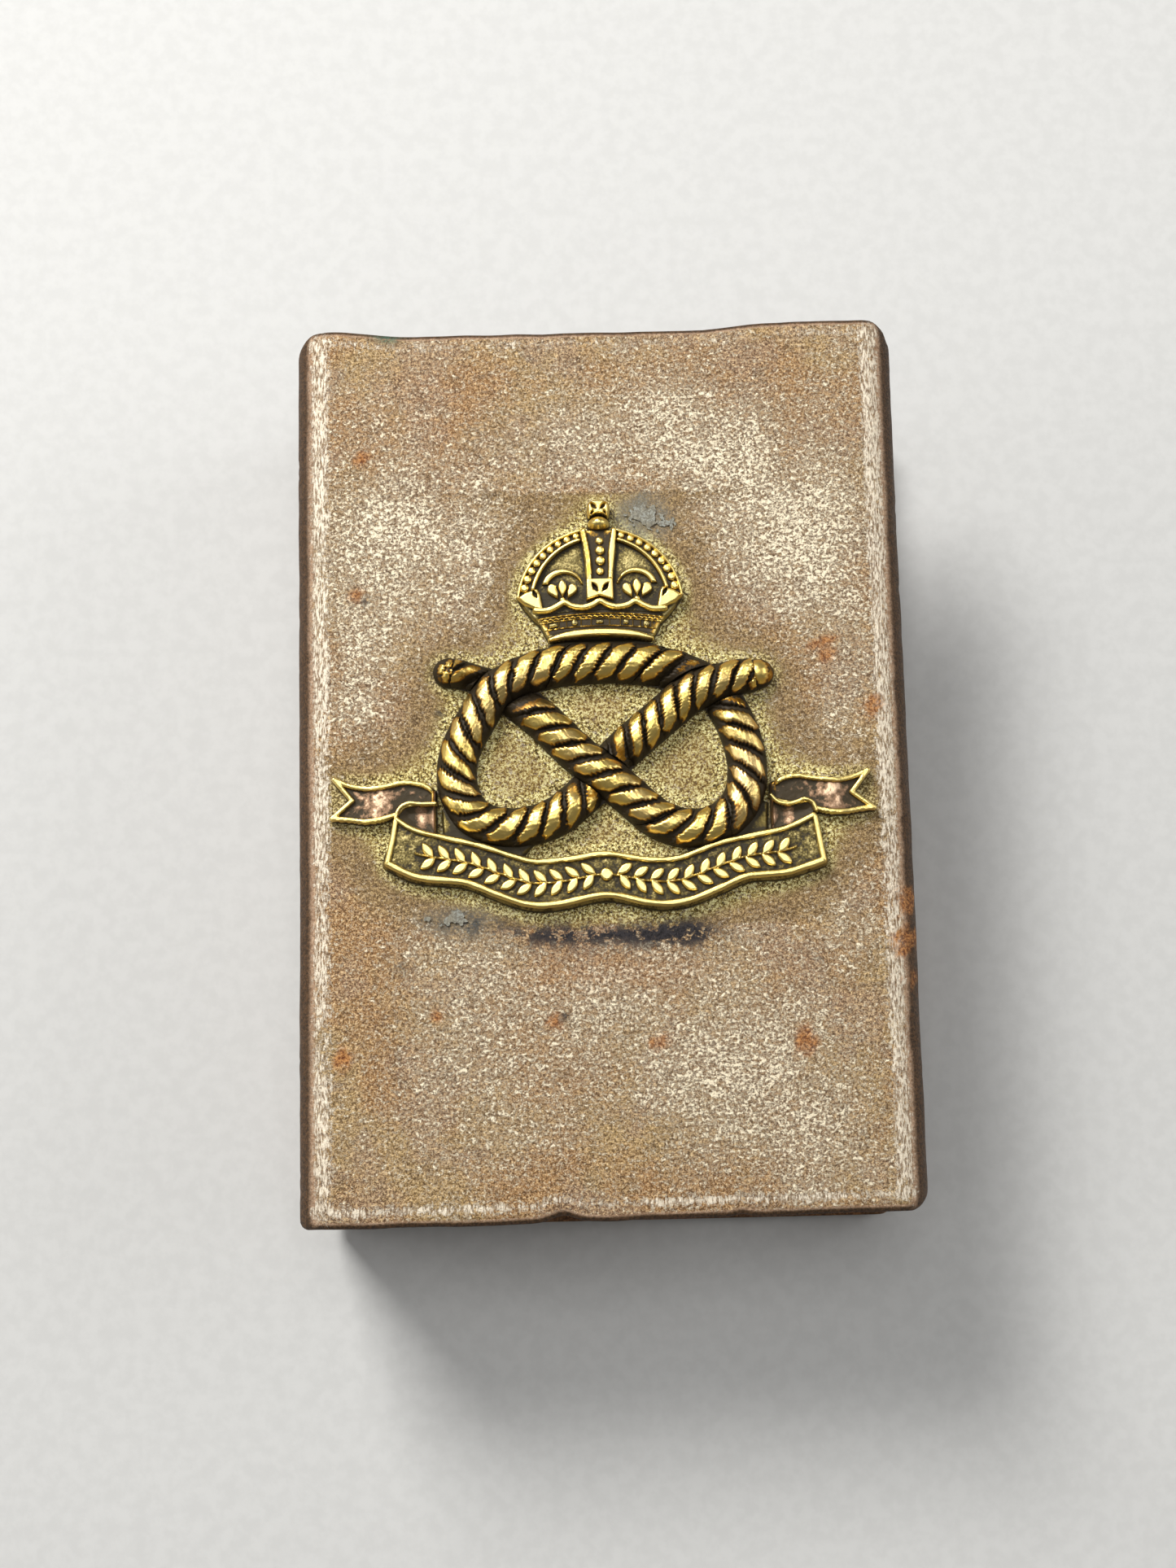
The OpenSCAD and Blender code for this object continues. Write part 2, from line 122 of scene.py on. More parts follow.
def hills(x, y, places):
    """The sum of hills given as rows of place, reach and strength."""
    return sum(strength * hill(x, y, *place) for *place, strength in places)


def smooth_step(x, low, high):
    t = np.clip((x - low) / (high - low), 0, 1)
    return t * t * (3 - 2 * t)


# ---------- Shapes on a grid: each gives how far a place lies inside the shape, in millimetres


class Patch:
    """A rectangle of grid points, a part of one lattice that the whole badge shares."""

    LOW = (-18.6, -11.2)
    HIGH = (18.6, 18.0)

    def __init__(self, x0=LOW[0], y0=LOW[1], x1=HIGH[0], y1=HIGH[1]):
        self.i0 = int(math.floor((x0 - Patch.LOW[0]) / PITCH))
        self.j0 = int(math.floor((y0 - Patch.LOW[1]) / PITCH))
        self.ni = int(math.ceil((x1 - x0) / PITCH)) + 2
        self.nj = int(math.ceil((y1 - y0) / PITCH)) + 2
        xs = Patch.LOW[0] + PITCH * (self.i0 + np.arange(self.ni))
        ys = Patch.LOW[1] + PITCH * (self.j0 + np.arange(self.nj))
        self.x, self.y = np.meshgrid(xs, ys, indexing="ij")

    @staticmethod
    def around(points, room):
        p = np.array(points)
        low, high = p.min(0) - room, p.max(0) + room
        return Patch(low[0], low[1], high[0], high[1])


def along(patch, line):
    """Distance along a line and distance to its left, of the line's place nearest each grid point."""
    x, y = patch.x.ravel(), patch.y.ravel()
    line = np.asarray(line, float)
    steps = np.diff(line, axis=0)
    lengths = np.hypot(steps[:, 0], steps[:, 1])
    starts = np.concatenate([[0], np.cumsum(lengths)[:-1]])
    best = np.full(x.shape, np.inf)
    s, left = np.zeros_like(x), np.zeros_like(x)
    for k in range(len(steps)):
        ux, uy = steps[k] / lengths[k]
        dx, dy = x - line[k, 0], y - line[k, 1]
        t = np.clip(dx * ux + dy * uy, 0, lengths[k])
        ox, oy = dx - t * ux, dy - t * uy
        gap = ox * ox + oy * oy
        near = gap < best
        best[near] = gap[near]
        s[near] = starts[k] + t[near]
        side = np.sign(ux * dy[near] - uy * dx[near])
        left[near] = side * np.sqrt(gap[near])
    return s.reshape(patch.x.shape), left.reshape(patch.x.shape)


def in_band(patch, line, width):
    return width / 2 - np.abs(along(patch, line)[1])


def in_outline(patch, points):
    p = np.asarray(points, float)
    closed = np.vstack([p, p[:1]])
    away = np.abs(along(patch, closed)[1])
    crossings = np.zeros(patch.x.shape, int)
    for (xa, ya), (xb, yb) in zip(closed[:-1], closed[1:]):
        spans = (ya > patch.y) != (yb > patch.y)
        if ya != yb:
            crossings += spans & (patch.x < xa + (patch.y - ya) * (xb - xa) / (yb - ya))
    return np.where(crossings % 2 == 1, away, -away)


def nowhere(patch):
    """A shape to gather others into, with every place far outside it."""
    return np.full(patch.x.shape, -9.0)


def in_disc(patch, x, y, r, squash=1.0):
    return r - np.hypot(patch.x - x, (patch.y - y) / squash)


def in_petal(patch, x, y, length, width, turn, blunt=1.0, heavy=1.0):
    """A leaf with its length along Y before it is turned.

    A blunt of 0.5 gives rounder ends, and a heavy of 2 makes it widest near its far end.
    """
    u, v = turned(patch, x, y, turn)
    t = np.clip(v / length + 0.5, 0, 1)
    edge = width / 2 * np.sin(math.pi * t ** heavy) ** blunt - np.abs(u)
    return np.minimum(edge, length / 2 - np.abs(v))


def turned(patch, x, y, turn):
    """Places measured from (x, y), across and along a direction that is turned by so many degrees."""
    c, s = math.cos(math.radians(turn)), math.sin(math.radians(turn))
    return (patch.x - x) * c + (patch.y - y) * s, -(patch.x - x) * s + (patch.y - y) * c


def in_box(patch, x, y, width, height, turn):
    u, v = turned(patch, x, y, turn)
    return np.minimum(width / 2 - np.abs(u), height / 2 - np.abs(v))


def round_over(inside, reach):
    """Rises from 0 at the outline to 1 at the distance reach inside it, as a quarter circle."""
    t = np.clip(inside / reach, 0, 1)
    return np.sqrt(1 - (1 - t) ** 2)


# ---------- Reliefs

reliefs = []


class Relief:
    """One piece: where inside is positive, it stands from foot up to top above the face.

    Grime, from -1 to 1, is what its own pattern adds to the dirt that its neighbours' heights leave on it;
    on a few pieces it also holds painted shade or painted highlights.
    Blush, from 0 to 1, is how far the brass has lost its yellow and gone silvery pink.
    """

    def __init__(self, node, slot, patch, inside, top, foot=FILM_T, grime=0.0, blush=0.0):
        self.node, self.slot, self.patch, self.inside, self.foot = node, slot, patch, inside, foot
        self.top = np.maximum(top, foot + 0.02)
        self.grime = np.broadcast_to(grime, patch.x.shape)
        self.blush = np.broadcast_to(blush, patch.x.shape)

    def paste(self, field, values):
        """Raises a whole-badge field to this piece's values wherever the piece lies."""
        p = self.patch
        here = field[p.i0 : p.i0 + p.ni, p.j0 : p.j0 + p.nj]
        here[:] = np.maximum(here, np.where(self.inside > 0, values, 0)[: here.shape[0], : here.shape[1]])


def relief(*facts, **more):
    reliefs.append(Relief(*facts, **more))


def raised(node, patch, shape, ground, rise, edge, foot, grime, slot="raised_brass"):
    """A relief that stands rise above a ground and is rounded over within edge of its outline."""
    relief(node, slot, patch, shape, ground + rise * round_over(shape, edge), foot, grime=grime)


def blur(field, size):
    """Gaussian blur of a whole-badge field; size is the standard deviation in millimetres."""
    fi = np.fft.fftfreq(field.shape[0], PITCH)[:, None]
    fj = np.fft.rfftfreq(field.shape[1], PITCH)[None, :]
    soften = np.exp(-2 * (math.pi * size) ** 2 * (fi ** 2 + fj ** 2))
    return np.fft.irfft2(np.fft.rfft2(field) * soften, s=field.shape)


class Surface:
    """What the height of the whole badge over the face says about wear and dirt.

    Deep is how far a place lies below its neighbours, and near and about tell how close the badge is.
    """

    def __init__(self):
        height = np.zeros(Patch().x.shape)
        for piece in reliefs:
            piece.paste(height, piece.top)
        below_fine = blur(height, 0.14) - height
        below_wide = blur(height, 0.45) - height
        self.deep = np.clip(0.5 + 2.6 * below_fine + 1.5 * below_wide, 0, 1)
        cover = (height > 0).astype(float)
        self.near = blur(cover, 0.7)
        self.about = blur(cover, 2.2)

    @staticmethod
    def at(field, x, y, patch=None):
        """A field's value at any place, by blending its four nearest grid points."""
        i0, j0 = (patch.i0, patch.j0) if patch else (0, 0)
        u = np.clip((x - Patch.LOW[0]) / PITCH - i0, 0, field.shape[0] - 1.001)
        v = np.clip((y - Patch.LOW[1]) / PITCH - j0, 0, field.shape[1] - 1.001)
        i, j = u.astype(int), v.astype(int)
        fu, fv = u - i, v - j
        low = field[i, j] * (1 - fu) + field[i + 1, j] * fu
        high = field[i, j + 1] * (1 - fu) + field[i + 1, j + 1] * fu
        return low * (1 - fv) + high * fv


# The outline of the part of a grid square that is inside a shape, for each of its 16 cases.
# 0 to 3 are the square's corners and 4 to 7 are the crossings on its sides.
SQUARES = {
    1: (0, 4, 7), 2: (1, 5, 4), 3: (0, 1, 5, 7), 4: (2, 6, 5), 5: (0, 4, 5, 2, 6, 7),
    6: (1, 2, 6, 4), 7: (0, 1, 2, 6, 7), 8: (3, 7, 6), 9: (0, 4, 6, 3), 10: (1, 5, 6, 3, 7, 4),
    11: (0, 1, 5, 6, 3), 12: (2, 3, 7, 5), 13: (0, 4, 5, 2, 3), 14: (1, 2, 3, 7, 4), 15: (0, 1, 2, 3),
}


def relief_mesh(patch, inside, top, foot):
    """Vertices in millimetres and faces of the closed solid under a relief."""
    x, y = patch.x, patch.y
    inside = np.where(np.abs(inside) < 1e-4, -1e-4, inside)
    full = inside > 0
    ids = np.full(x.shape, -1)
    ids[full] = np.arange(full.sum())
    verts = [np.column_stack([x[full], y[full], top[full]])]
    count = int(full.sum())

    def crossings(a, b):
        """Points where the outline crosses the grid lines from places a to places b."""
        nonlocal count
        crossed = full[a] != full[b]
        t = inside[a][crossed] / (inside[a][crossed] - inside[b][crossed])
        found = [q[a][crossed] + t * (q[b][crossed] - q[a][crossed]) for q in (x, y)]
        z = np.where(full[a][crossed], top[a][crossed], top[b][crossed])
        numbers = np.full(crossed.shape, -1)
        numbers[crossed] = count + np.arange(crossed.sum())
        count += int(crossed.sum())
        verts.append(np.column_stack([*found, np.minimum(z, foot + 0.5 * (z - foot) + 0.05)]))
        return numbers

    lo, hi, every = slice(None, -1), slice(1, None), slice(None)
    across = crossings((lo, every), (hi, every))
    upward = crossings((every, lo), (every, hi))
    corners = [ids[lo, lo], ids[hi, lo], ids[hi, hi], ids[lo, hi]]
    sides = [across[:, lo], upward[hi, :], across[:, hi], upward[lo, :]]
    places = corners + sides
    case = sum((c >= 0) * bit for c, bit in zip(corners, (1, 2, 4, 8)))
    tops = np.vstack(verts)
    faces, rim = [], []
    for number, outline in SQUARES.items():
        here = case == number
        if not here.any():
            continue
        faces.append(np.column_stack([places[k][here] for k in outline]))
        for a, b in zip(outline, outline[1:] + outline[:1]):
            if a > 3 and b > 3:
                rim.append(np.column_stack([places[a][here], places[b][here]]))
    rim = np.vstack(rim)
    under = tops.copy()
    under[:, 2] = foot
    walls = np.column_stack([rim[:, 1], rim[:, 0], rim[:, 0] + count, rim[:, 1] + count])
    bottoms = [f[:, ::-1] + count for f in faces]
    return np.vstack([tops, under]), faces + bottoms + [walls]


def add_mesh(name, verts, faces, material, layers, sharp=50):
    """A Blender object from vertices in millimetres, arrays of faces and named vertex values."""
    mesh = bpy.data.meshes.new(name)
    mesh.vertices.add(len(verts))
    mesh.vertices.foreach_set("co", (verts * MM).astype(np.float32).ravel())
    loops = np.concatenate([f.ravel() for f in faces]).astype(np.int32)
    sizes = np.concatenate([np.full(len(f), f.shape[1]) for f in faces])
    mesh.loops.add(len(loops))
    mesh.loops.foreach_set("vertex_index", loops)
    mesh.polygons.add(len(sizes))
    mesh.polygons.foreach_set("loop_start", np.concatenate([[0], np.cumsum(sizes)[:-1]]).astype(np.int32))
    mesh.update(calc_edges=True)
    mesh.validate()
    mesh.shade_smooth()
    mesh.set_sharp_from_angle(angle=math.radians(sharp))
    for layer, values in layers.items():
        mesh.attributes.new(layer, "FLOAT", "POINT").data.foreach_set("value", values.astype(np.float32))
    mesh.materials.append(material)
    piece = bpy.data.objects.new(name, mesh)
    bpy.context.scene.collection.objects.link(piece)
    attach(piece, "root")
    return piece


def build_reliefs(surface, materials):
    """Makes each relief's object, with the dirt, painted shade, painted highlights and blush that its
    material reads at each vertex.
    """
    for r in reliefs:
        verts, faces = relief_mesh(r.patch, r.inside, r.top, r.foot)
        material = materials.get(r.node) or materials[r.slot]
        x, y, z = verts.T
        deep = surface.at(surface.deep, x, y) + surface.at(r.grime, x, y, r.patch)
        deep = np.where(z > r.foot + 0.01, np.clip(deep, 0, 1), 1.0)
        layers = {"deep": deep, "blush": surface.at(r.blush, x, y, r.patch)}
        piece = add_mesh(r.node + "_relief", verts + [0, 0, FACE_Z], faces, material, layers)
        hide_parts(r.node)


# ---------- The rope knot

# The middle of the rope, from its right tip round both loops to its left tip
ROPE_ROUTE = [
    (9.8, 5.2), (8.2, 4.9), (5.7, 4.0), (3.5, 2.3), (1.0, 0.2), (0, -1.0), (-1.0, -2.1),
    (-3.3, -3.9), (-6.0, -4.5), (-8.3, -3.8), (-9.4, -1.9), (-9.3, 0.4), (-8.2, 2.6),
    (-6.6, 4.7), (-3.6, 5.9), (0, 6.2), (3.5, 5.9),
    (6.8, 4.7), (8.4, 2.4), (9.2, -0.4), (8.9, -2.8), (7.6, -4.3), (5.6, -4.8),
    (3.4, -4.1), (1.0, -2.0), (-1.4, 0), (-3.9, 2.5), (-5.2, 3.6),
    (-6.8, 4.8), (-8.3, 5.4), (-9.6, 5.7),
]
# Points of the route where one piece of rope ends and the next starts
RIGHT_TIP, CENTRE, BOW_LEFT, BOW_RIGHT, CROSS, LEFT_CROSSING, LEFT_TIP = 0, 5, 14, 16, 23, 28, 30
ROPE_STEPS = 14
ROPE_HALF = 1.27
ROPE_FOOT = 0.2
ROPE_RISE = 1.12
STRAND_RISE = 0.42
STRAND_PITCH = 1.52
STRAND_LEAN = 0.95
# Width of the ragged teeth along a strand's edge
TOOTH = 0.25
LIFT_RISE, LIFT_REACH = 0.2, math.sqrt(2.2)
rope_line = curve(ROPE_ROUTE, ROPE_STEPS)
rope_steps = np.hypot(*np.diff(rope_line, axis=0).T)
rope_at = np.concatenate([[0], np.cumsum(rope_steps)])


def turns(s):
    """How many strands have gone by at a distance along the rope. They lie closer at its start."""
    return s / STRAND_PITCH + 0.11 * np.minimum(s, 12) / STRAND_PITCH


def route_at(point):
    """The distance along the rope of one of its route's points."""
    return rope_at[point * ROPE_STEPS]


def rope_half(s):
    """Half the rope's width: a little more over the bow, and less towards both ends."""
    bow = smooth_step(s, route_at(BOW_LEFT - 1), route_at(BOW_LEFT))
    bow = bow * smooth_step(-s, -route_at(BOW_RIGHT + 1), -route_at(BOW_RIGHT))
    left_end = smooth_step(s, rope_at[-1] - 4.0, rope_at[-1] - 1.9)
    right_end = smooth_step(-s, -3.0, 0)
    return ROPE_HALF * (1 + 0.05 * bow - 0.28 * left_end - 0.14 * right_end)


def rope_fields(patch, first, last):
    """For a stretch of rope: distance along it, strands gone by, how far inside it, height and dirt."""
    x, y = patch.x, patch.y
    s, left = along(patch, rope_line[first * ROPE_STEPS : last * ROPE_STEPS + 1])
    s = s + route_at(first)
    half = rope_half(s)
    d = np.clip(left / half, -1, 1)
    phase = turns(s) - STRAND_LEAN * np.arcsin(0.96 * d) / STRAND_PITCH + 0.05 * noise(s, left * 0, 2.3, 5)
    number = np.floor(phase)
    luck, lean = lattice(number, number * 0, 9), lattice(number, number * 0, 12)
    off = np.abs(phase - number - 0.5 + 0.06 * (luck - 0.5)) * STRAND_PITCH
    yarn = left / TOOTH + 0.35 * s + 0.7 * noise(x, y, 0.7, 19)
    tooth = np.abs(2 * (yarn % 1) - 1) - 0.5
    ragged = 0.07 * tooth * (1 + noise(x, y, 0.5, 21)) + 0.11 * rough_noise(x, y, 0.4, 23, 2)
    flank = smooth_step(np.abs(d + 0.12 * (lean - 0.5)), 0.62, 1.0)
    strand = 0.65 * (0.94 + 0.12 * luck) - off + ragged - 0.3 * flank
    lobe = round_over(strand, 0.4)
    body = np.sqrt(np.clip(1 - d * d, 0, 1)) ** 0.9
    height = ROPE_FOOT + ROPE_RISE * body * (0.94 + 0.06 * luck) + STRAND_RISE * lobe * (0.4 + 0.6 * body)
    height = height + 0.03 * rough_noise(x, y, 0.5, 27, 3) + 0.004 * lobe * np.cos(2 * math.pi * yarn)
    grime = 0.55 - 0.85 * smooth_step(strand, -0.04, 0.5) + 0.6 * flank + 0.2 * (lean - 0.5)
    grime = grime + 0.2 * rough_noise(x, y, 0.6, 29, 3)
    return s, phase, half - np.abs(left), height, grime


def rope_piece(node, first, last, over=(), lift_at=(), dull_at=()):
    """One stretch of rope, from groove to groove, cut back where other stretches pass over it, and darkened
    beside them as painted shade.

    It stands a little higher at each (x, y) of lift_at, and is dirtier at each (x, y, reach) of dull_at.
    """
    line = rope_line[first * ROPE_STEPS : last * ROPE_STEPS + 1]
    patch = Patch.around(line, 2.4)
    x, y = patch.x, patch.y
    s, phase, inside, height, grime = rope_fields(patch, max(first - 1, 0), min(last + 1, LEFT_TIP))
    starts, ends = route_at(first), route_at(last)
    past_start = s if first == RIGHT_TIP else (phase - round(turns(starts))) * STRAND_PITCH
    before_end = ends - s if last == LEFT_TIP else (round(turns(ends)) - phase) * STRAND_PITCH
    inside = np.minimum(inside, np.minimum(past_start, before_end))
    for stretch in over:
        cover = rope_fields(patch, *stretch)[2]
        inside = np.minimum(inside, -cover)
        # Within 1.5 mm of rope that passes over it, this stretch dips and is darkened as painted shade.
        under = smooth_step(cover, -1.5, 0)
        height = height - 0.6 * under
        grime = grime + 0.5 * under
    blush = 0.25 * smooth_step(rough_noise(x, y, 2.2, 35, 2), 0.1, 0.5)
    blush = blush + 0.5 * hill(x, y, 8.9, -1.2, math.sqrt(5), math.sqrt(5))
    height = height + LIFT_RISE * hills(x, y, [(*place, LIFT_REACH, LIFT_REACH, 1) for place in lift_at])
    grime = grime + 0.4 * hills(x, y, [(*place, place[-1], 1) for place in dull_at])
    relief(node, "rope_brass", patch, inside, height, grime=grime, blush=blush)


def rope_knob(node, tip, beyond, lumps, dirt):
    """The rounded end of the rope, with a few worn lumps of yarn on it."""
    way = (tip - beyond) / np.linalg.norm(tip - beyond)
    patch = Patch.around([tip], 2.2)
    across = -(patch.x - tip[0]) * way[1] + (patch.y - tip[1]) * way[0]
    ahead = (patch.x - tip[0]) * way[0] + (patch.y - tip[1]) * way[1]
    reach = np.hypot((ahead - 0.25) / 1.1, across / 0.98)
    inside = np.minimum(1.0 - reach, ahead)
    tooth = np.abs(2 * ((across / TOOTH) % 1) - 1) - 0.5
    bump = nowhere(patch)
    for u, v, r in lumps:
        bump = np.maximum(bump, r - np.hypot(ahead - u, (across - v) * 0.7) + 0.08 * tooth)
    dome = round_over(1.0 - reach, 1.0)
    height = ROPE_FOOT + 0.95 * dome + 0.25 * round_over(bump, 0.3) * dome
    grime = dirt - 0.8 * smooth_step(bump, -0.02, 0.2) + 0.4 * (1 - dome)
    grime = grime + 0.3 * smooth_step(-ahead, -0.2, 0) + 0.1 * noise(patch.x, patch.y, 0.5, 33)
    relief(node, "rope_brass", patch, inside, height, grime=grime)


def make_rope():
    cross = (CROSS, LEFT_CROSSING)
    left_side = (BOW_LEFT - 4, BOW_LEFT + 1)
    rope_piece(
        "rope_right_end", RIGHT_TIP, CENTRE, over=[cross],
        lift_at=[(6.6, 4.4)], dull_at=[(1.8, 0.8, 0.9)],
    )
    rope_piece(
        "rope_left_loop", CENTRE, BOW_LEFT, over=[(CROSS, CROSS + 3)],
        lift_at=[(-6.6, 4.6)], dull_at=[(-8.7, 1.8, 0.8)],
    )
    rope_piece("rope_top_bow", BOW_LEFT, BOW_RIGHT)
    rope_piece(
        "rope_right_loop", BOW_RIGHT, CROSS, over=[(RIGHT_TIP, 4)],
        dull_at=[(8.2, -4.0, 0.8), (6.6, 5.0, 1.0)],
    )
    rope_piece(
        "rope_cross_strand", CROSS, LEFT_CROSSING, over=[left_side],
        lift_at=[(0, -1.1)], dull_at=[(-5.2, 3.6, 1.3)],
    )
    rope_piece(
        "rope_left_end", LEFT_CROSSING, LEFT_TIP, over=[left_side],
        dull_at=[(-8.0, 5.2, 2.0), (-9.6, 4.4, 1.2)],
    )
    rope_knob(
        "rope_right_knob", rope_line[0], rope_line[3],
        [(0.35, 0.0, 0.62), (-0.2, -0.5, 0.4)], 0.3,
    )
    rope_knob(
        "rope_left_knob", rope_line[-1], rope_line[-4],
        [(0.75, 0.0, 0.28), (0.35, 0.42, 0.3), (0.3, -0.4, 0.28), (0.0, 0.1, 0.25)], 0.55,
    )


# ---------- The scroll

UPPER_RIM = [
    (-13.3, -3.9), (-12.2, -4.6), (-10.4, -5.1), (-8, -5.7), (-6, -6.4), (-4.5, -6.8), (-2.5, -6.7),
    (0, -6.4), (2.5, -6.8), (4.5, -6.8), (6, -6.3), (7.5, -5.8), (9.5, -5.4), (11.5, -5.0), (13.3, -4.2),
]
LOWER_RIM = [
    (-13.9, -6.7), (-12, -7.6), (-9, -8.0), (-7, -8.8), (-5, -9.5), (-3, -9.5), (0, -9.0),
    (3, -9.6), (5, -9.5), (7, -8.8), (9, -8.0), (11.5, -7.8), (13.8, -7.1),
]
# The swallow tails, along the middle of their rims, from the tip of the notch round the top to the bottom
LEFT_TAIL = [
    [(-17.35, -1.15), (-16.3, -1.6), (-15.2, -1.8), (-14.1, -1.68), (-13.0, -1.45), (-12.1, -1.52),
     (-11.4, -1.75), (-10.95, -2.1)],
    [(-10.95, -2.9), (-12.0, -2.9), (-12.8, -3.0), (-13.3, -3.5)],
    [(-13.6, -3.6), (-14.4, -3.83), (-15.4, -3.93), (-16.3, -3.8), (-17.5, -3.68)],
    [(-16.2, -2.55)],
]
RIGHT_TAIL = [
    [(16.95, -1.3), (16.2, -1.62), (15.2, -1.88), (14.2, -1.83), (13.25, -1.7), (12.4, -1.55), (11.5, -1.7),
     (10.8, -2.1)],
    [(10.8, -3.1), (12.0, -3.36), (13.0, -3.2), (13.5, -3.7)],
    [(13.9, -3.83), (14.6, -3.95), (15.5, -3.95), (16.4, -3.8), (17.25, -3.75)],
    [(15.85, -2.7)],
]
# The rolled upper edges of the folds, and the folds' outlines
LEFT_CURL = [(-13.4, -3.85), (-13.3, -3.4), (-13.0, -3.0), (-12.5, -2.82), (-11.8, -2.88), (-10.85, -2.88)]
RIGHT_CURL = [
    (10.65, -2.85), (11.1, -3.25), (11.7, -3.4), (12.3, -3.28), (12.8, -3.12), (13.3, -3.35), (13.5, -3.85),
]
LEFT_FOLD = [(-13.2, -3.6), (-13.1, -3.95), (-12.2, -4.55), (-10.9, -4.85), (-10.9, -2.95), (-12.9, -2.95)]
RIGHT_FOLD = [
    (10.7, -3.0), (10.7, -4.95), (12.0, -4.65), (13.3, -4.05), (13.3, -3.5), (12.6, -3.25), (11.5, -3.4),
]
SCROLL_ENDS = [
    [(-13.4, -4.0), (-13.6, -5.2), (-13.95, -6.7)],
    [(13.4, -4.3), (13.6, -5.6), (13.85, -7.1)],
]
SCROLL_TOP = 0.75
# Where the rims and the laurel start, a little below the top of the ground
SCROLL_FOOT = 0.6
RIM_RISE = 0.45
RIM_W = 0.4
TAIL_RIM = 0.18
LEAF_PITCH = 1.02
LEAF_L, LEAF_W, LEAF_SPREAD = 1.22, 0.66, 46
STEM_REACH = 12.2

upper_line = curve(UPPER_RIM)
lower_line = curve(LOWER_RIM)


def scroll_middle(x):
    return (np.interp(x, *upper_line.T) + np.interp(x, *lower_line.T)) / 2


def punched(patch, seed):
    """The fine, irregular roughness that a punch leaves on a sunk ground, from -1 to 1."""
    return rough_noise(patch.x, patch.y, 0.3, seed, 3)


def make_scroll():
    """The scroll's ground, its two long rims, the short ones at its ends, its laurel, tails and folds."""
    outline = np.vstack([lower_line, upper_line[::-1]])
    patch = Patch.around(outline, 0.6)
    below = smooth_step(scroll_middle(patch.x) - patch.y, 0.2, 0.8)
    inside = in_outline(patch, outline) + 0.22 + 0.18 * below
    marks = punched(patch, 11)
    waves = 0.04 * noise(patch.x, patch.y, 1.8, 3)
    ground = 0.85 * SCROLL_TOP * round_over(inside, 0.4) + waves + 0.03 * marks
    relief("scroll_band", "ground_brass", patch, inside, FILM_T + ground, grime=-0.02 - 0.25 * marks)

    rims = (("scroll_upper_rim", upper_line, RIM_W), ("scroll_lower_rim", lower_line, 1.15 * RIM_W))
    for node, line, width in rims:
        patch = Patch.around(line, 0.6)
        rim = in_band(patch, line, width) + 0.03 * noise(patch.x, patch.y, 0.7, 31)
        raised(node, patch, rim, SCROLL_FOOT, RIM_RISE, 0.3 * width, SCROLL_FOOT, -0.12)
    patch = Patch(-14.6, -7.6, 14.6, -3.2)
    ends = np.maximum(*(in_band(patch, curve(end), RIM_W) for end in SCROLL_ENDS))
    raised("scroll_end_rims", patch, ends, SCROLL_FOOT, RIM_RISE, 0.3 * RIM_W, SCROLL_FOOT, -0.12)
    make_laurel()
    make_tails()
    make_folds()


def make_laurel():
    """A thin stem with a pair of leaves at each step, growing out from a rosette to both sides."""
    patch = Patch(-13.2, -9.4, 13.2, -5.0)
    xs = np.linspace(-STEM_REACH, STEM_REACH, 120)
    stem = in_band(patch, np.column_stack([xs, scroll_middle(xs)]), 0.22)
    stem = np.minimum(stem, STEM_REACH - np.abs(patch.x))
    laurel = np.maximum(stem, in_disc(patch, 0, scroll_middle(0), 0.45))
    for side in (-1, 1):
        for k in range(1, int(STEM_REACH / LEAF_PITCH) + 1):
            x = side * (k * LEAF_PITCH - 0.15)
            rise = scroll_middle(x + 0.1) - scroll_middle(x - 0.1)
            slope = math.degrees(math.atan2(rise, 0.2))
            for up in (-1, 1):
                turn = slope - side * 90 + up * side * LEAF_SPREAD
                place = (x + side * 0.3, scroll_middle(x) + up * 0.43)
                laurel = np.maximum(laurel, in_petal(patch, *place, LEAF_L, LEAF_W, turn, 0.7))
    raised("scroll_ornament", patch, laurel, SCROLL_FOOT, 0.42, 0.15, SCROLL_FOOT, -0.12)


def make_tails():
    """The two swallow tails, thin sheets with a low rim, each with a soft bulge where it turns that is
    lightened as a painted highlight.
    """
    for node, parts, side in (("scroll_tail_left", LEFT_TAIL, -1), ("scroll_tail_right", RIGHT_TAIL, 1)):
        outline = np.vstack([curve(part, 6) if len(part) > 2 else part for part in parts])
        patch = Patch.around(outline, 0.6)
        edge = in_outline(patch, outline)
        rim = (TAIL_RIM - np.abs(edge)) * smooth_step(side * patch.x, 10.9, 11.3)
        marks = punched(patch, 17)
        bulge = np.exp(-((patch.x - side * 14.6) / 1.1) ** 2)
        ground = 0.34 + 0.12 * bulge + 0.02 * marks
        top = FILM_T + ground * round_over(edge + TAIL_RIM, 0.12) + 0.3 * round_over(rim, 0.1)
        # The bulge is lightened as a painted highlight, and the rims are rubbed bright.
        grime = 0.2 - 0.3 * bulge - 0.3 * marks - 0.55 * smooth_step(rim, 0, 0.06)
        relief(node, "raised_brass", patch, edge + TAIL_RIM, top, grime=grime, blush=1.0 * (rim < 0))


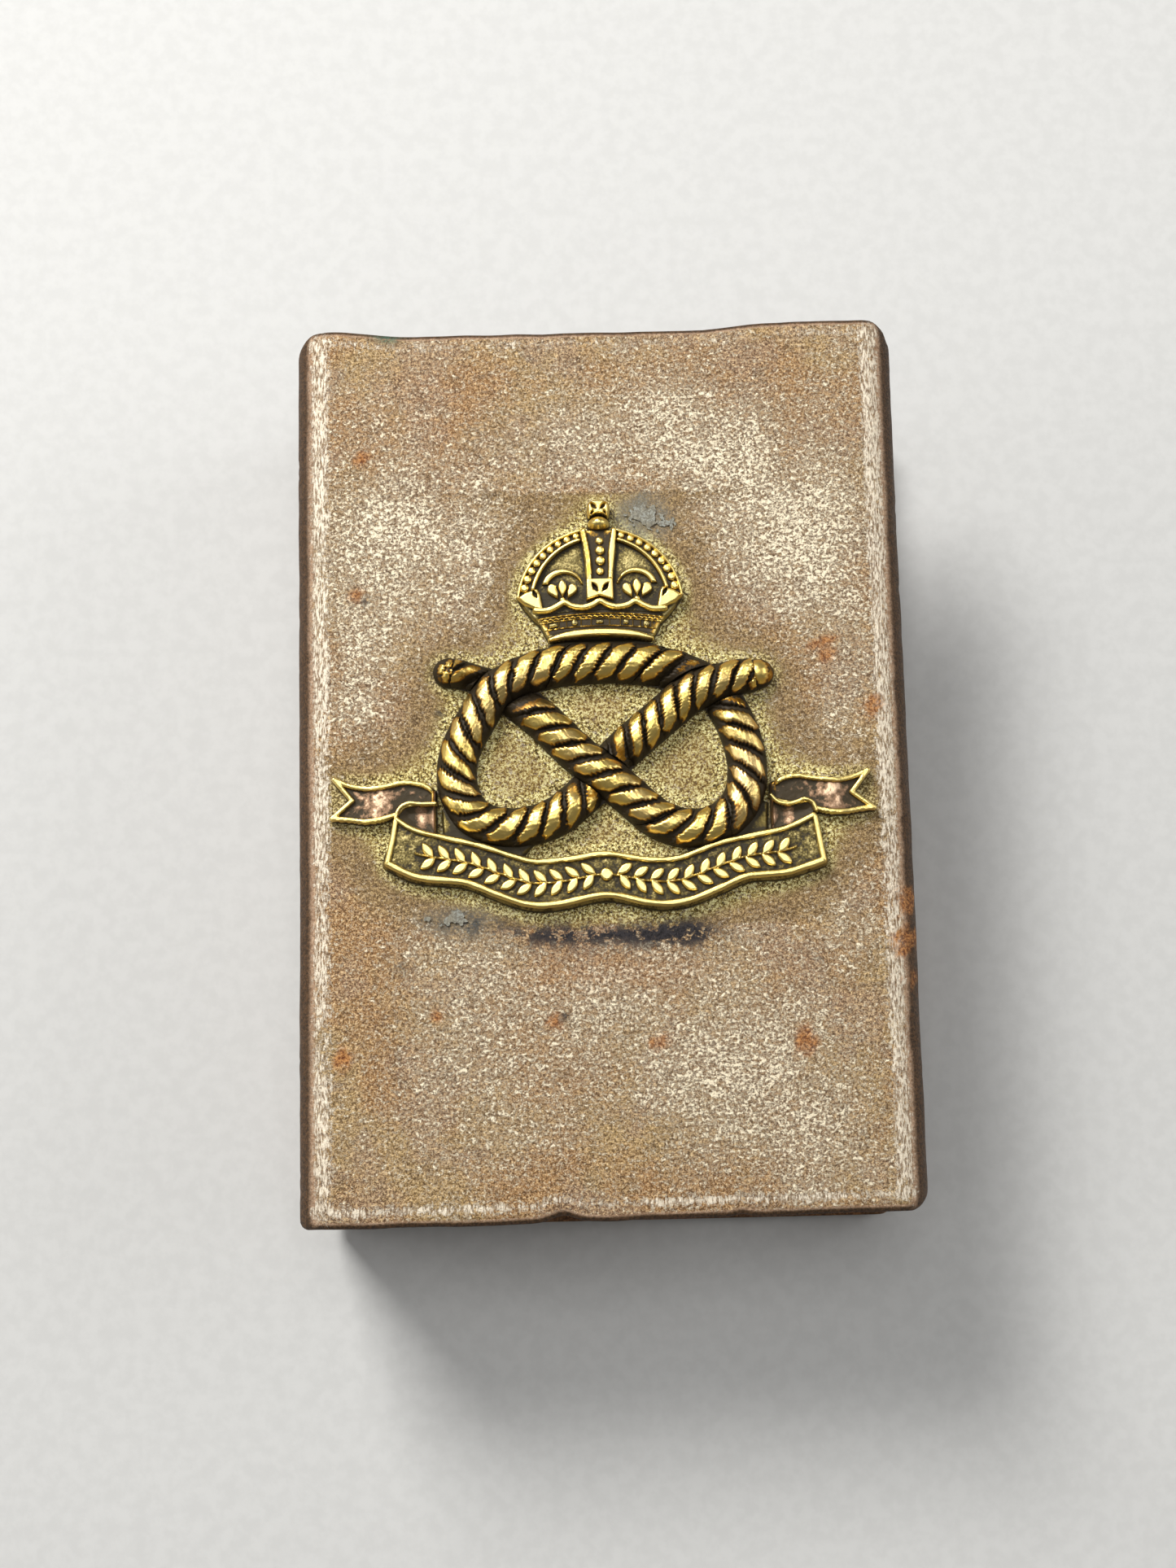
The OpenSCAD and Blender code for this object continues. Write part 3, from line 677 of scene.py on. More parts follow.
def make_folds():
    """The folds between the tails and the band: a sunk sheet with a painted highlight down it, a rolled
    upper edge and a straight side.
    """
    folds = (
        ("scroll_fold_left", LEFT_FOLD, LEFT_CURL, -10.88),
        ("scroll_fold_right", RIGHT_FOLD, RIGHT_CURL, 10.68),
    )
    for node, outline, curl_line, side_x in folds:
        patch = Patch.around(np.vstack([outline, curl_line, [(side_x, -2.0)]]), 0.5)
        sheet = in_outline(patch, outline) + 0.1
        curl = in_band(patch, curve(curl_line), 0.34)
        edge = in_band(patch, [(side_x, -2.1), (side_x, -4.7)], 0.16)
        inside = np.maximum(np.maximum(sheet, curl), edge)
        hollow = 0.26 * np.clip(sheet, 0, 0.6) / 0.6 * (curl < 0)
        ridges = np.maximum(round_over(curl, 0.11), 0.7 * round_over(edge, 0.06))
        top = FILM_T + 0.55 * round_over(inside, 0.12) - hollow * (edge < 0) + 0.3 * ridges
        # Sheen is a painted highlight down the middle of each sheet, added to the rubbed ridges.
        sheen = np.exp(-((np.abs(patch.x) - 11.8) / 0.32) ** 2)
        rubbed_and_sheen = 0.4 * sheen + 0.5 * smooth_step(np.maximum(curl, edge), 0, 0.06)
        grime = 0.06 - rubbed_and_sheen - 0.1 * punched(patch, 37)
        relief(node, "raised_brass", patch, inside, top, grime=grime, blush=1.0 * (curl < 0))


# ---------- The crown

CROWN_TOP = 0.62
# Where the raised parts of the crown start, inside its ground
CROWN_FOOT = 0.5
CROWN_SIDE = [(3.4, 7.65), (3.6, 8.0), (3.9, 8.65), (4.4, 9.1), (4.95, 9.8)]
ARCH_Y = 10
ARCH_A, ARCH_B = 5.45, 5.15
RIB_R = 4.47
PEARLS = 9
PEARL_LOW, PEARL_TURN = 14, 59
CENTRE_PEARLS = [(0.05, 12.2, 0.28), (0.07, 12.9, 0.34), (0.07, 13.6, 0.33), (0.05, 14.25, 0.27)]
STRAP = [(-0.88, 11.6), (0.88, 11.6), (1.2, 15.0), (-1.2, 15.0)]
FRONT_CROSS = [(0.92, 10.2), (0.9, 11.7), (-0.87, 11.7), (-0.9, 10.2), (0, 10.5)]
SIDE_CROSS = [
    (3.62, 9.5), (4.3, 9.72), (4.95, 10.05), (5.4, 10.5), (4.9, 10.85), (4.05, 11.14), (3.85, 10.75),
]
WAVY_HALF = [
    (0, 10.2), (0.5, 9.95), (1.1, 9.8), (1.8, 9.9), (2.3, 10.15), (2.8, 9.9), (3.4, 9.65), (4.2, 9.65),
]
BASE_HALF = [(0, 8.1), (1.3, 8.05), (2.4, 7.9), (3.3, 7.65)]
# Upright lines between the circlet's frames
CIRCLET_SEAMS = (-3.45, -2.7, -2.2, -1.25, -0.6, 0.6, 1.3, 2.1, 2.6, 3.35)
ROUND_STONES = [(-1.68, 8.82, 0.22), (2.98, 8.66, 0.22)]
# The square stones: x, y, width and height
SQUARE_STONES = [(-3.08, 8.66, 0.56, 0.28), (-0.05, 8.86, 0.5, 0.26), (1.66, 8.82, 0.36, 0.32)]
TOP_CROSS = [
    (0.4, 15.6), (0.74, 15.9), (0.8, 16.5), (0.72, 16.86), (0.4, 17.02),
    (-0.35, 17.02), (-0.66, 16.86), (-0.74, 16.5), (-0.7, 15.9), (-0.4, 15.6),
]


def crown_outline():
    right = np.vstack([CROWN_SIDE, ellipse_arc(ARCH_A, ARCH_B, ARCH_Y, 6, 77)])
    left = right[::-1] * np.array([-1, 1])
    return np.vstack([right, left])


def circlet_outline():
    half = [(3.45, 7.95), (3.8, 8.65), (4.2, 9.1), (3.9, 9.4), (2.2, 9.55), (0, 9.7)]
    under = [(x, 8.42 - 0.04 * x * x) for x in np.linspace(-3.2, 3.2, 9)]
    return half + mirrored(half)[1:] + under


def both_ways(half):
    """A smooth line from its right half."""
    return curve(mirrored(half)[:-1] + half)


def make_crown():
    """The crown's ground, slightly domed and sunk at the circlet, and all that stands on it."""
    patch = Patch(-6.0, 7.0, 6.0, 15.8)
    x, y = patch.x, patch.y
    outline = in_outline(patch, crown_outline())
    ground = CROWN_TOP + 0.13 * np.sqrt(np.clip(1 - (x / 6.2) ** 2, 0, 1)) - 0.1
    sunk = 0.12 * smooth_step(in_outline(patch, circlet_outline()), 0, 0.1)
    top = FILM_T + (ground + 0.04 - FILM_T) * round_over(outline, 0.25) - sunk
    top = top + 0.04 * rough_noise(x, y, 0.9, 13)
    grime = -0.2 * smooth_step(y, 10, 12.5) + 0.15 * rough_noise(x, y, 0.5, 15)
    relief("crown_plate", "ground_brass", patch, outline, top, grime=grime)
    make_arches(patch, ground)
    make_pearls(patch, ground)
    make_centre(patch, ground)
    make_ornaments(patch, ground)
    make_circlet(patch, ground)
    make_orb()


def make_arches(patch, ground):
    """The two side arches: a narrow ground between a rib on the inside and a thin edge on the outside."""
    x, y = patch.x, patch.y
    outer = (1 - np.hypot(x / ARCH_A, (y - ARCH_Y) / ARCH_B)) * (ARCH_A + ARCH_B) / 2
    inner = np.hypot(x, y - ARCH_Y) - 4.3
    for node, side in (("crown_arch_right", 1), ("crown_arch_left", -1)):
        angle = np.degrees(np.arctan2(y - ARCH_Y, side * x))
        within = np.minimum(np.minimum(angle - 5, 77 - angle) * 0.09, np.minimum(outer, inner))
        rib = in_band(patch, ellipse_arc(RIB_R * side, RIB_R, ARCH_Y, 14, 73), 0.28)
        edge = 0.11 - np.abs(outer - 0.1)
        top = ground + 0.04 + 0.06 * round_over(within, 0.12)
        top = top + 0.4 * round_over(rib, 0.09) + 0.3 * round_over(edge, 0.08)
        grime = 0.3 - 0.6 * smooth_step(rib, 0, 0.05) - 0.4 * smooth_step(edge, 0, 0.05)
        relief(node, "raised_brass", patch, within, top, CROWN_FOOT + 0.05, grime=grime)


def pearls(patch, places):
    """The union of round pearls, as how far inside and how high, from (x, y, radius) places."""
    inside = nowhere(patch)
    height = np.zeros(patch.x.shape)
    for px, py, r in places:
        here = in_disc(patch, px, py, r)
        inside = np.maximum(inside, here)
        height = np.maximum(height, r * round_over(here, 0.6 * r))
    return inside, height


def make_pearls(patch, ground):
    """Pearls that shrink towards the top of each arch, and the four down the middle."""
    places = []
    for side in (-1, 1):
        for t in np.linspace(0, 1, PEARLS):
            angle = math.radians(PEARL_LOW + PEARL_TURN * t)
            places.append((side * 5.03 * math.cos(angle), ARCH_Y + 4.8 * math.sin(angle), 0.31 - 0.07 * t))
    sets = (("crown_arch_pearls", places, -0.08), ("crown_centre_pearls", CENTRE_PEARLS, -0.12))
    for node, row, grime in sets:
        inside, height = pearls(patch, row)
        top = ground + 0.1 + 0.8 * height
        relief(node, "raised_brass", patch, inside, top, CROWN_FOOT + 0.1, grime=grime)


def make_centre(patch, ground):
    """The strap up the middle, with a rail on each side, and the cross at its foot."""
    strap = in_outline(patch, STRAP)
    left = in_band(patch, curve([(-0.68, 11.7), (-0.76, 13.2), (-1.04, 14.95)]), 0.44)
    blade = 0.19 + 0.07 * np.exp(-((patch.y - 13.6) / 0.8) ** 2)
    right = in_band(patch, curve([(0.72, 11.7), (0.84, 13.3), (1.02, 14.95)]), 2 * blade)
    rails = round_over(np.maximum(left, right), 0.12)
    crease = 0.1 * np.clip(1 - np.abs(left - 0.22) / 0.1, 0, 1)
    top = ground + 0.02 + 0.08 * round_over(strap, 0.1) + 0.42 * rails - crease
    grime = 0.02 - 0.25 * smooth_step(rails, 0.1, 0.6) + 1.5 * crease + 0.1 * punched(patch, 39)
    shape = np.maximum(strap, np.maximum(left, right))
    relief("crown_centre_strap", "raised_brass", patch, shape, top, CROWN_FOOT + 0.05, grime=grime)

    block = in_outline(patch, FRONT_CROSS)
    left = in_petal(patch, -0.3, 11.08, 0.75, 0.3, 32)
    right = in_petal(patch, 0.38, 11.08, 0.75, 0.3, -36)
    cut = smooth_step(np.maximum(left, right), -0.03, 0.08)
    top = ground + 0.5 * round_over(block, 0.1) - 0.42 * cut
    relief("crown_front_cross", "raised_brass", patch, block, top, CROWN_FOOT, grime=0.4 * cut - 0.15)


def make_ornaments(patch, ground):
    """On each side, a fold of the cap, a fleur of three petals on a foot, and a slit half cross."""
    x, y = patch.x, patch.y
    folds, petals = nowhere(patch), nowhere(patch)
    for side in (-1, 1):
        outer = (1 - np.hypot((x - side * 2.42) / 1.36, (y - 11.2) / 1.22)) * 1.28
        inner = (1 - np.hypot((x - side * 2.28) / 1.12, (y - 11.0) / 1.05)) * 1.08
        folds = np.maximum(folds, np.minimum(np.minimum(outer, -inner), y - 11.35))
        middle = in_petal(patch, side * 2.42, 11.05, 1.25, 0.6, 0, 0.7, 1.5)
        for px, width, turn in ((2.97, 0.78, 28), (1.87, 0.7, -26)):
            petal = in_petal(patch, side * px, 10.86, 1.15, width, -side * turn, 0.7, 1.7)
            petals = np.maximum(petals, np.minimum(petal, -middle - 0.07))
        foot = in_petal(patch, side * 2.42, 10.3, 0.4, 0.45, 0, 0.6)
        petals = np.maximum(petals, np.maximum(middle, foot))
    raised("crown_cap_folds", patch, folds, ground, 0.34, 0.14, CROWN_FOOT, -0.08)
    raised("crown_fleurs", patch, petals, ground, 0.42, 0.13, CROWN_FOOT, -0.12)

    crosses, slits = nowhere(patch), nowhere(patch)
    for side, outline in ((1, SIDE_CROSS), (-1, mirrored(SIDE_CROSS))):
        crosses = np.maximum(crosses, in_outline(patch, outline))
        slits = np.maximum(slits, in_petal(patch, side * 4.22, 10.72, 0.7, 0.26, side * -28))
    cut = smooth_step(slits, -0.02, 0.07)
    top = ground + 0.46 * round_over(crosses, 0.16) - 0.34 * cut
    grime = 0.45 * cut - 0.1 + 0.12 * rough_noise(x, y, 0.6, 45)
    relief("crown_side_crosses", "raised_brass", patch, crosses, top, CROWN_FOOT, grime=grime)


def make_circlet(patch, ground):
    """The wavy rim, the jewelled band below it and the plain rim at the crown's base."""
    x, y = patch.x, patch.y
    rim = in_band(patch, both_ways(WAVY_HALF), 0.42)
    raised("crown_wavy_rim", patch, rim, ground, 0.48, 0.13, CROWN_FOOT, -0.15)

    band = in_outline(patch, circlet_outline())
    sag = y + 0.02 * x * x
    scallop = 9.2 + 0.09 * np.abs(np.cos(math.pi * x / 0.36))
    lines = np.maximum(0.045 - np.abs(sag - scallop), 0.04 - np.abs(sag - 9.42))
    frames = np.maximum(0.035 - np.abs(sag - 9.1), 0.035 - np.abs(sag - 8.6))
    for seam in CIRCLET_SEAMS:
        frames = np.maximum(frames, np.minimum(0.035 - np.abs(x - seam), 0.27 - np.abs(sag - 8.85)))
    drawn = smooth_step(np.maximum(lines, frames), -0.02, 0.03) * smooth_step(band, 0.02, 0.1)
    marks = punched(patch, 41)
    top = ground - 0.06 + 0.06 * round_over(band, 0.1) + 0.11 * drawn + 0.02 * marks
    grime = 0.26 - 0.56 * drawn - 0.1 * marks
    relief("crown_circlet", "raised_brass", patch, band, top, CROWN_FOOT - 0.05, grime=grime)

    stones = np.maximum(*(in_disc(patch, *stone) for stone in ROUND_STONES))
    for px, py, width, height in SQUARE_STONES:
        stones = np.maximum(stones, in_box(patch, px, py, width, height, -3.5 * px))
    raised("crown_jewels", patch, stones, ground + 0.02, 0.16, 0.12, CROWN_FOOT, -0.1, "ground_brass")

    width = 0.58 * np.clip(1 - (x / 4.2) ** 4, 0.25, 1)
    rim = np.minimum(in_band(patch, both_ways(BASE_HALF), width), 3.45 - np.abs(x))
    raised("crown_base_rim", patch, rim, ground, 0.5, 0.18, CROWN_FOOT - 0.05, -0.22)


def make_orb():
    """The orb, with a painted highlight low on its dome, and on it a cross of four broad arms with
    leaf-shaped hollows between them.
    """
    patch = Patch(-1.5, 14.6, 1.5, 17.6)
    ball = in_disc(patch, 0.02, 15.42, 0.74, 0.76)
    dome = round_over(ball, 0.7)
    # A painted highlight across the lower part of the dome.
    grime = 0.25 - 0.5 * dome * np.exp(-((patch.y - 15.25) / 0.3) ** 2)
    relief("crown_orb", "raised_brass", patch, ball, FILM_T + 1.3 * dome, grime=grime)

    block = np.minimum(in_outline(patch, TOP_CROSS), -ball)
    hollows = nowhere(patch)
    for side in (-1, 1):
        hollows = np.maximum(hollows, in_petal(patch, 0.03 + side * 0.3, 16.55, 0.62, 0.26, side * -38))
        hollows = np.maximum(hollows, in_petal(patch, 0.03 + side * 0.42, 16.12, 0.4, 0.16, side * 30))
    cut = smooth_step(hollows, -0.03, 0.07)
    top = FILM_T + 1.05 * round_over(block, 0.2) - 0.3 * cut
    relief("crown_cross", "raised_brass", patch, block, top, grime=0.45 * cut - 0.12)


# ---------- Web and solder

WEBS = [
    [(-10.5, -3.2), (-10.4, -5.0), (-8, -5.6), (-5.4, -6.5), (-4.2, -5.2), (-6, -4.4), (-8.9, -2.8)],
    [(10.5, -3.2), (10.4, -5.1), (8, -5.6), (5.6, -6.4), (4.4, -5.2), (6, -4.6), (8.9, -2.8)],
    [(-3.3, 6.6), (3.3, 6.6), (3.4, 7.7), (-3.4, 7.7)],
]


def make_web():
    """The thin metal left under the two loops, and between the bow and the crown."""
    patch = Patch(-11.0, -7.4, 11.0, 8.4)
    inside = nowhere(patch)
    for outline in WEBS:
        inside = np.maximum(inside, in_outline(patch, outline))
    top = 0.14 + 0.22 * round_over(inside, 0.2) + 0.03 * rough_noise(patch.x, patch.y, 0.7, 43)
    relief("badge_web", "web_brass", patch, inside, top)


def make_solder():
    """The film that shows in a thin, uneven line round the badge, and two flat smears beside it."""
    patch = Patch()
    x, y = patch.x, patch.y
    cover = np.zeros(x.shape)
    for piece in reliefs:
        piece.paste(cover, 1.0)
    spread = blur(cover, 0.12) - 0.42 + 0.1 * rough_noise(x, y, 0.8, 51)
    relief("solder_film", "solder", patch, spread, FILM_T * round_over(spread, 0.3), 0.0)

    patch = Patch(-12.2, -12.6, 6.2, 18.0)
    x, y = patch.x, patch.y
    wavy = 0.7 * rough_noise(x, y, 0.9, 53) + 0.6 * rough_noise(x, y, 0.3, 57, 2)
    spots = np.maximum(
        0.5 - np.hypot((x - 3.3) / 1.6, (y - 16.1) / 1.8) + wavy,
        0.7 - np.hypot((x + 9.6) / 1.7, (y + 10.4) / 0.7) + wavy,
    )
    lumps = 0.006 * rough_noise(x, y, 0.4, 55)
    relief("solder_spots", "solder", patch, spots, 0.022 * round_over(spots, 0.9) + lumps, 0.0)


# ---------- The sleeve

SHEET = 0.9
BEND_R = 2.3
FRONT_LIP = 4.8
BACK_LIP = 4.6
# The rounding of the sheet's cut ends: distance in from the end, and how much thinner each side is there
EDGE_RINGS = [(0.0, 0.2), (0.06, 0.09), (0.2, 0.02), (0.45, 0.0)]
# Spare room between the ends and the CAD box, towards the crown and away from it
HIGH_SPARE, LOW_SPARE = 0.14, 0.06


def section_line():
    """The middle of the sheet all round the sleeve, as rows of x, z and the outward direction."""
    r = BEND_R - SHEET / 2
    w, h = CASE_W / 2 - SHEET / 2, CASE_H
    rows = []

    def straight(x0, z0, x1, z1, out, step):
        n = max(2, int(round(math.hypot(x1 - x0, z1 - z0) / step)))
        for t in np.arange(n) / n:
            rows.append((x0 + t * (x1 - x0), z0 + t * (z1 - z0), *out))

    def bend(x, z, start):
        for t in np.radians(start - 90 * np.arange(11) / 11):
            rows.append((x + r * math.cos(t), z + r * math.sin(t), math.cos(t), math.sin(t)))

    low, high = SHEET / 2, h - SHEET / 2
    face_step = 0.28
    straight(w, BACK_LIP, w, low + r, (1, 0), 0.6)
    bend(w - r, low + r, 0)
    straight(w - r, low, -w + r, low, (0, -1), 0.9)
    bend(-w + r, low + r, -90)
    straight(-w, low + r, -w, high - r, (-1, 0), 0.7)
    bend(-w + r, high - r, 180)
    straight(-w + r, high, w - r, high, (0, 1), face_step)
    bend(w - r, high - r, 90)
    straight(w, high - r, w, h - FRONT_LIP, (1, 0), 0.6)
    rows.append((w, h - FRONT_LIP, 1, 0))
    return np.array(rows)


def corner_cut(x, r):
    """How much shorter the sheet is near a rounded corner of the face."""
    past = np.clip(np.abs(x) - (CASE_W / 2 - r), 0, r * 0.97)
    return r - np.sqrt(r * r - past * past)


def sleeve_ends(x, z):
    """Where the sheet ends towards the crown and away from it, for each place round the section."""
    front = smooth_step(z, CASE_H - 6.5, CASE_H - 2.6)
    dip = 0.45 * smooth_step(x, -18, -12) * (1 - smooth_step(x, 6.5, 12))
    corners = np.where(x < 0, corner_cut(x, 1.3), corner_cut(x, 1.5))
    high = CASE_L / 2 - HIGH_SPARE - corners - (dip + 0.04 * noise(x, x * 0, 1.7, 61)) * front
    slant = 0.28 * smooth_step(x, -14, 18)
    corners = np.where(x < 0, corner_cut(x, 0.4), corner_cut(x, 1.2))
    notch = 0.42 * np.exp(-((x + 3.2) / 0.95) ** 2) + 0.16 * np.exp(-((x - 8) / 0.6) ** 2)
    low = -CASE_L / 2 + LOW_SPARE + corners + (slant + notch + 0.05 * noise(x, x * 0, 1.9, 63)) * front
    return low, high


def dents(x, y, seed):
    """Slow waves, small dents and the pitted grain of old sheet steel, in millimetres, never outwards."""
    slow = 0.05 * rough_noise(x, y, 9, seed, 2)
    small = 0.028 * rough_noise(x, y, 1.6, seed + 10, 3)
    pits = 0.07 * smooth_step(rough_noise(x, y, 0.9, seed + 20, 2), 0.38, 0.75)
    return slow + small - pits - 0.09


def make_sleeve(surface, materials):
    """One closed sheet: rings of outer and inner points from one open end to the other."""
    section = section_line()
    mid_x, mid_z, out_x, out_z = section.T
    n = len(section)
    around = np.cumsum(np.hypot(np.diff(mid_x, prepend=mid_x[0]), np.diff(mid_z, prepend=mid_z[0])))
    low, high = sleeve_ends(mid_x + out_x * SHEET / 2, mid_z + out_z * SHEET / 2)
    reach = EDGE_RINGS[-1][0]
    between = np.linspace(0, 1, 190)[1:-1]
    rings = [(low + gap, inset) for gap, inset in EDGE_RINGS]
    rings += [(low + reach + t * (high - low - 2 * reach), 0.0) for t in between]
    rings += [(high - gap, inset) for gap, inset in reversed(EDGE_RINGS)]
    sheets = []
    for y, inset in rings:
        roll = 0.22 * np.exp(-np.minimum(y - low, high - y) / 0.5) * smooth_step(out_z, 0, 0.9)
        half = SHEET / 2 - inset
        outwards = np.minimum(half + dents(around, y, 71) - roll, SHEET / 2)
        inwards = -half - 0.5 * dents(around, y, 171) - roll
        for move in (outwards, inwards):
            sheets.append(np.column_stack([mid_x + out_x * move, y, mid_z + out_z * move]))
    verts = np.vstack(sheets)
    outer = np.arange(len(rings))[:, None] * 2 * n + np.arange(n)[None, :]
    under = outer + n

    def quads(*corners):
        return np.column_stack([c.ravel() for c in corners])

    faces = [
        quads(outer[:-1, :-1], outer[1:, :-1], outer[1:, 1:], outer[:-1, 1:]),
        quads(under[:-1, :-1], under[:-1, 1:], under[1:, 1:], under[1:, :-1]),
        quads(outer[0, :-1], outer[0, 1:], under[0, 1:], under[0, :-1]),
        quads(outer[-1, :-1], under[-1, :-1], under[-1, 1:], outer[-1, 1:]),
        quads(outer[:-1, 0], under[:-1, 0], under[1:, 0], outer[1:, 0]),
        quads(outer[:-1, -1], outer[1:, -1], under[1:, -1], under[:-1, -1]),
    ]
    inner_side = np.tile(np.repeat([False, True], n), len(rings))
    layers = sleeve_layers(verts, inner_side, surface)
    piece = add_mesh("case_sleeve_sheet", verts, faces, materials["steel_sheet"], layers, sharp=60)
    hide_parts("case_sleeve")


# Where bright flecks of bare metal lie thick on the face: x, y, reach across, reach along, strength
FLECK_PLACES = [
    (-10, 13, 6.5, 6.0, 0.5), (10, 19, 7, 6, 0.45), (14, 13, 4, 7, 0.5), (-14, 17, 4, 7, 0.35),
    (0, 22, 10, 4, 0.4), (-7, -18, 9, 7, 0.35), (8, -20, 9, 7, 0.4), (15, -3, 2.5, 8, 0.35),
    (-2, -15, 9, 2.5, 0.25), (-16, 5, 2.5, 9, 0.4), (13, -24, 6, 5, 0.3),
]
# Dark stains at the ends of the long one, and small dark spots, in the same form
STAIN_PLACES = [
    (-9.0, -10.5, 2.0, 0.8, 1), (5, -11.4, 1.9, 0.8, 1), (-13.3, -13.4, 0.4, 0.4, 1),
    (-2.9, -16.6, 0.3, 0.3, 1), (-10.5, 3.2, 0.35, 0.35, 1), (13.6, -13.2, 0.3, 0.3, 1),
    (-15.3, 10.8, 0.3, 0.3, 1),
]
# Where the skin is a warmer, rustier brown, in the same form
WARM_PLACES = [(0, -13.8, 6.5, 1.3, 0.3), (-12, 24, 4, 3, 0.2)]
# Rust spots: x, y, radius
RUST_SPOTS = [
    (-15.5, 20.5, 0.5), (14.5, 7, 0.8), (-17, -19, 0.7), (-3.5, -17, 0.5), (12.5, -18.5, 0.8),
    (-15.8, 11.2, 0.5), (19.4, -9.5, 0.9), (19.3, -12.2, 1.1), (19.5, -14.5, 0.7), (17.5, 3, 0.6),
    (-11, -16.5, 0.4), (3, -18.3, 0.6),
]


def badge_closeness(x, y, front, surface):
    """How close the badge is, on a fine and on a wide scale, as far as its own grid reaches."""
    shown = (np.abs(x) < 18.4) & (y > -11) & (y < 17.9)
    return (surface.at(field, x, y) * shown * front for field in (surface.near, surface.about))


def rust_layer(x, y, z, front, inner_side):
    """Spots on the face and round its edges, patches low on the walls, and most of the inside."""
    rust = 0
    for cx, cy, r in RUST_SPOTS:
        away = np.hypot(np.hypot(x - cx, y - cy), (CASE_H - z) / 2)
        rust = rust + smooth_step(r * (1 + 0.6 * noise(x, y + z, 0.5, 93)) - away, -0.25, 0.3)
    rust = np.clip(rust + hills(x, y, WARM_PLACES) * front, 0, 1)
    patches = smooth_step(rough_noise(y, z + x, 5, 95), 0.15, 0.6)
    walls = 0.8 * patches * (1 - smooth_step(z, CASE_H - 4, CASE_H - 2))
    return np.where(inner_side, 0.4 + 0.35 * rough_noise(x, y + z, 4, 95), np.maximum(rust, walls))


def wear_and_highlight_layer(x, y, z, low, high, front):
    """Bare metal along the bends beside the face, at the back's bends and just inside the face's ends; on
    the face these pale bands are also a painted highlight.
    """
    from_end = np.minimum(y - low, high - y)
    bends = 1 - smooth_step(np.abs(np.abs(x) - (CASE_W / 2 - 1.75)), 0.3, 1.0)
    bends = bends * (0.9 + 0.3 * rough_noise(x, y * 0.5, 1.4, 97, 3)) * np.where(x > 0, 1.15, 1.0)
    bends = bends * (0.35 + 0.65 * smooth_step(from_end, 0.4, 2.4))
    bends = bends * (smooth_step(z, CASE_H - 1.0, CASE_H - 0.3) + 0.5 * (1 - smooth_step(z, 0.3, 1.0)))
    ends = 1.15 * np.exp(-((y - low - 1.05) / 0.38) ** 2) + 0.7 * np.exp(-((high - y - 0.9) / 0.5) ** 2)
    ends = ends * (0.8 + 0.6 * rough_noise(x * 0.5, y, 1.3, 99, 3)) * front
    return np.clip(bends + ends, 0, 1)


def sleeve_layers(verts, inner_side, surface):
    """Values from 0 to 1 that say what lies on the steel at each vertex."""
    x, y, z = verts.T
    low, high = sleeve_ends(x, z)
    front = smooth_step(z, CASE_H - 1.0, CASE_H - 0.35)
    near, about = badge_closeness(x, y, front, surface)
    fleck = 0.25 + hills(x, y, FLECK_PLACES) * front
    fleck = fleck * (1 - 0.75 * smooth_step(about, 0.02, 0.3)) + 0.3 * rough_noise(x + z, y, 4, 91, 3)
    stain = 1.1 * np.exp(-((x + 0.5) / 7.0) ** 4 - ((y + 11.5 + 0.02 * x) / 0.85) ** 2)
    stain = stain + hills(x, y, STAIN_PLACES)
    grey = np.exp(-(((x - 3.0) / 1.9) ** 2 + ((y - 16.0) / 1.8) ** 2) ** 2)
    grey = (grey + 0.8 * hill(x, y, -9.6, -10.4, 2.2, 0.9)) * front
    grey = grey * (0.8 + 0.7 * rough_noise(x, y, 0.7, 85))
    # Painted shade: darker as the sheet turns away from the face round the bends, and a darker brown on
    # down the walls and inside.
    brown = 1 - smooth_step(z, CASE_H - 1.1, CASE_H - 0.1)
    waves = 2.5 * rough_noise(y, z + x, 4, 89)
    brown = brown * (0.6 + 0.4 * smooth_step(z + waves, CASE_H - 7, CASE_H - 2))
    # The face's rolled cut ends are darkened with the same painted shade.
    rim = 1 - smooth_step(np.minimum(y - low, high - y), 0.05, 0.5)
    return {
        "fleck": np.clip(fleck, 0, 1),
        "gilt": np.clip(near * 1.9, 0, 1),
        "about": np.clip(about * 1.8, 0, 1),
        "rust": rust_layer(x, y, z, front, inner_side),
        "stain": np.clip(stain * front, 0, 1),
        "worn": wear_and_highlight_layer(x, y, z, low, high, front),
        "brown": np.maximum(brown, 0.9 * rim * front),
        "green": hill(x, y, -13.8, high - 0.3, 0.9, 0.35) * front,
        "grey": np.clip(grey, 0, 1),
    }


# ---------- Materials


def srgb(r, g, b):
    """A colour given as 0 to 255 screen values, in the linear values that shaders use."""
    linear = [c / 255 / 12.92 if c < 10.3 else ((c / 255 + 0.055) / 1.055) ** 2.4 for c in (r, g, b)]
    return (*linear, 1.0)


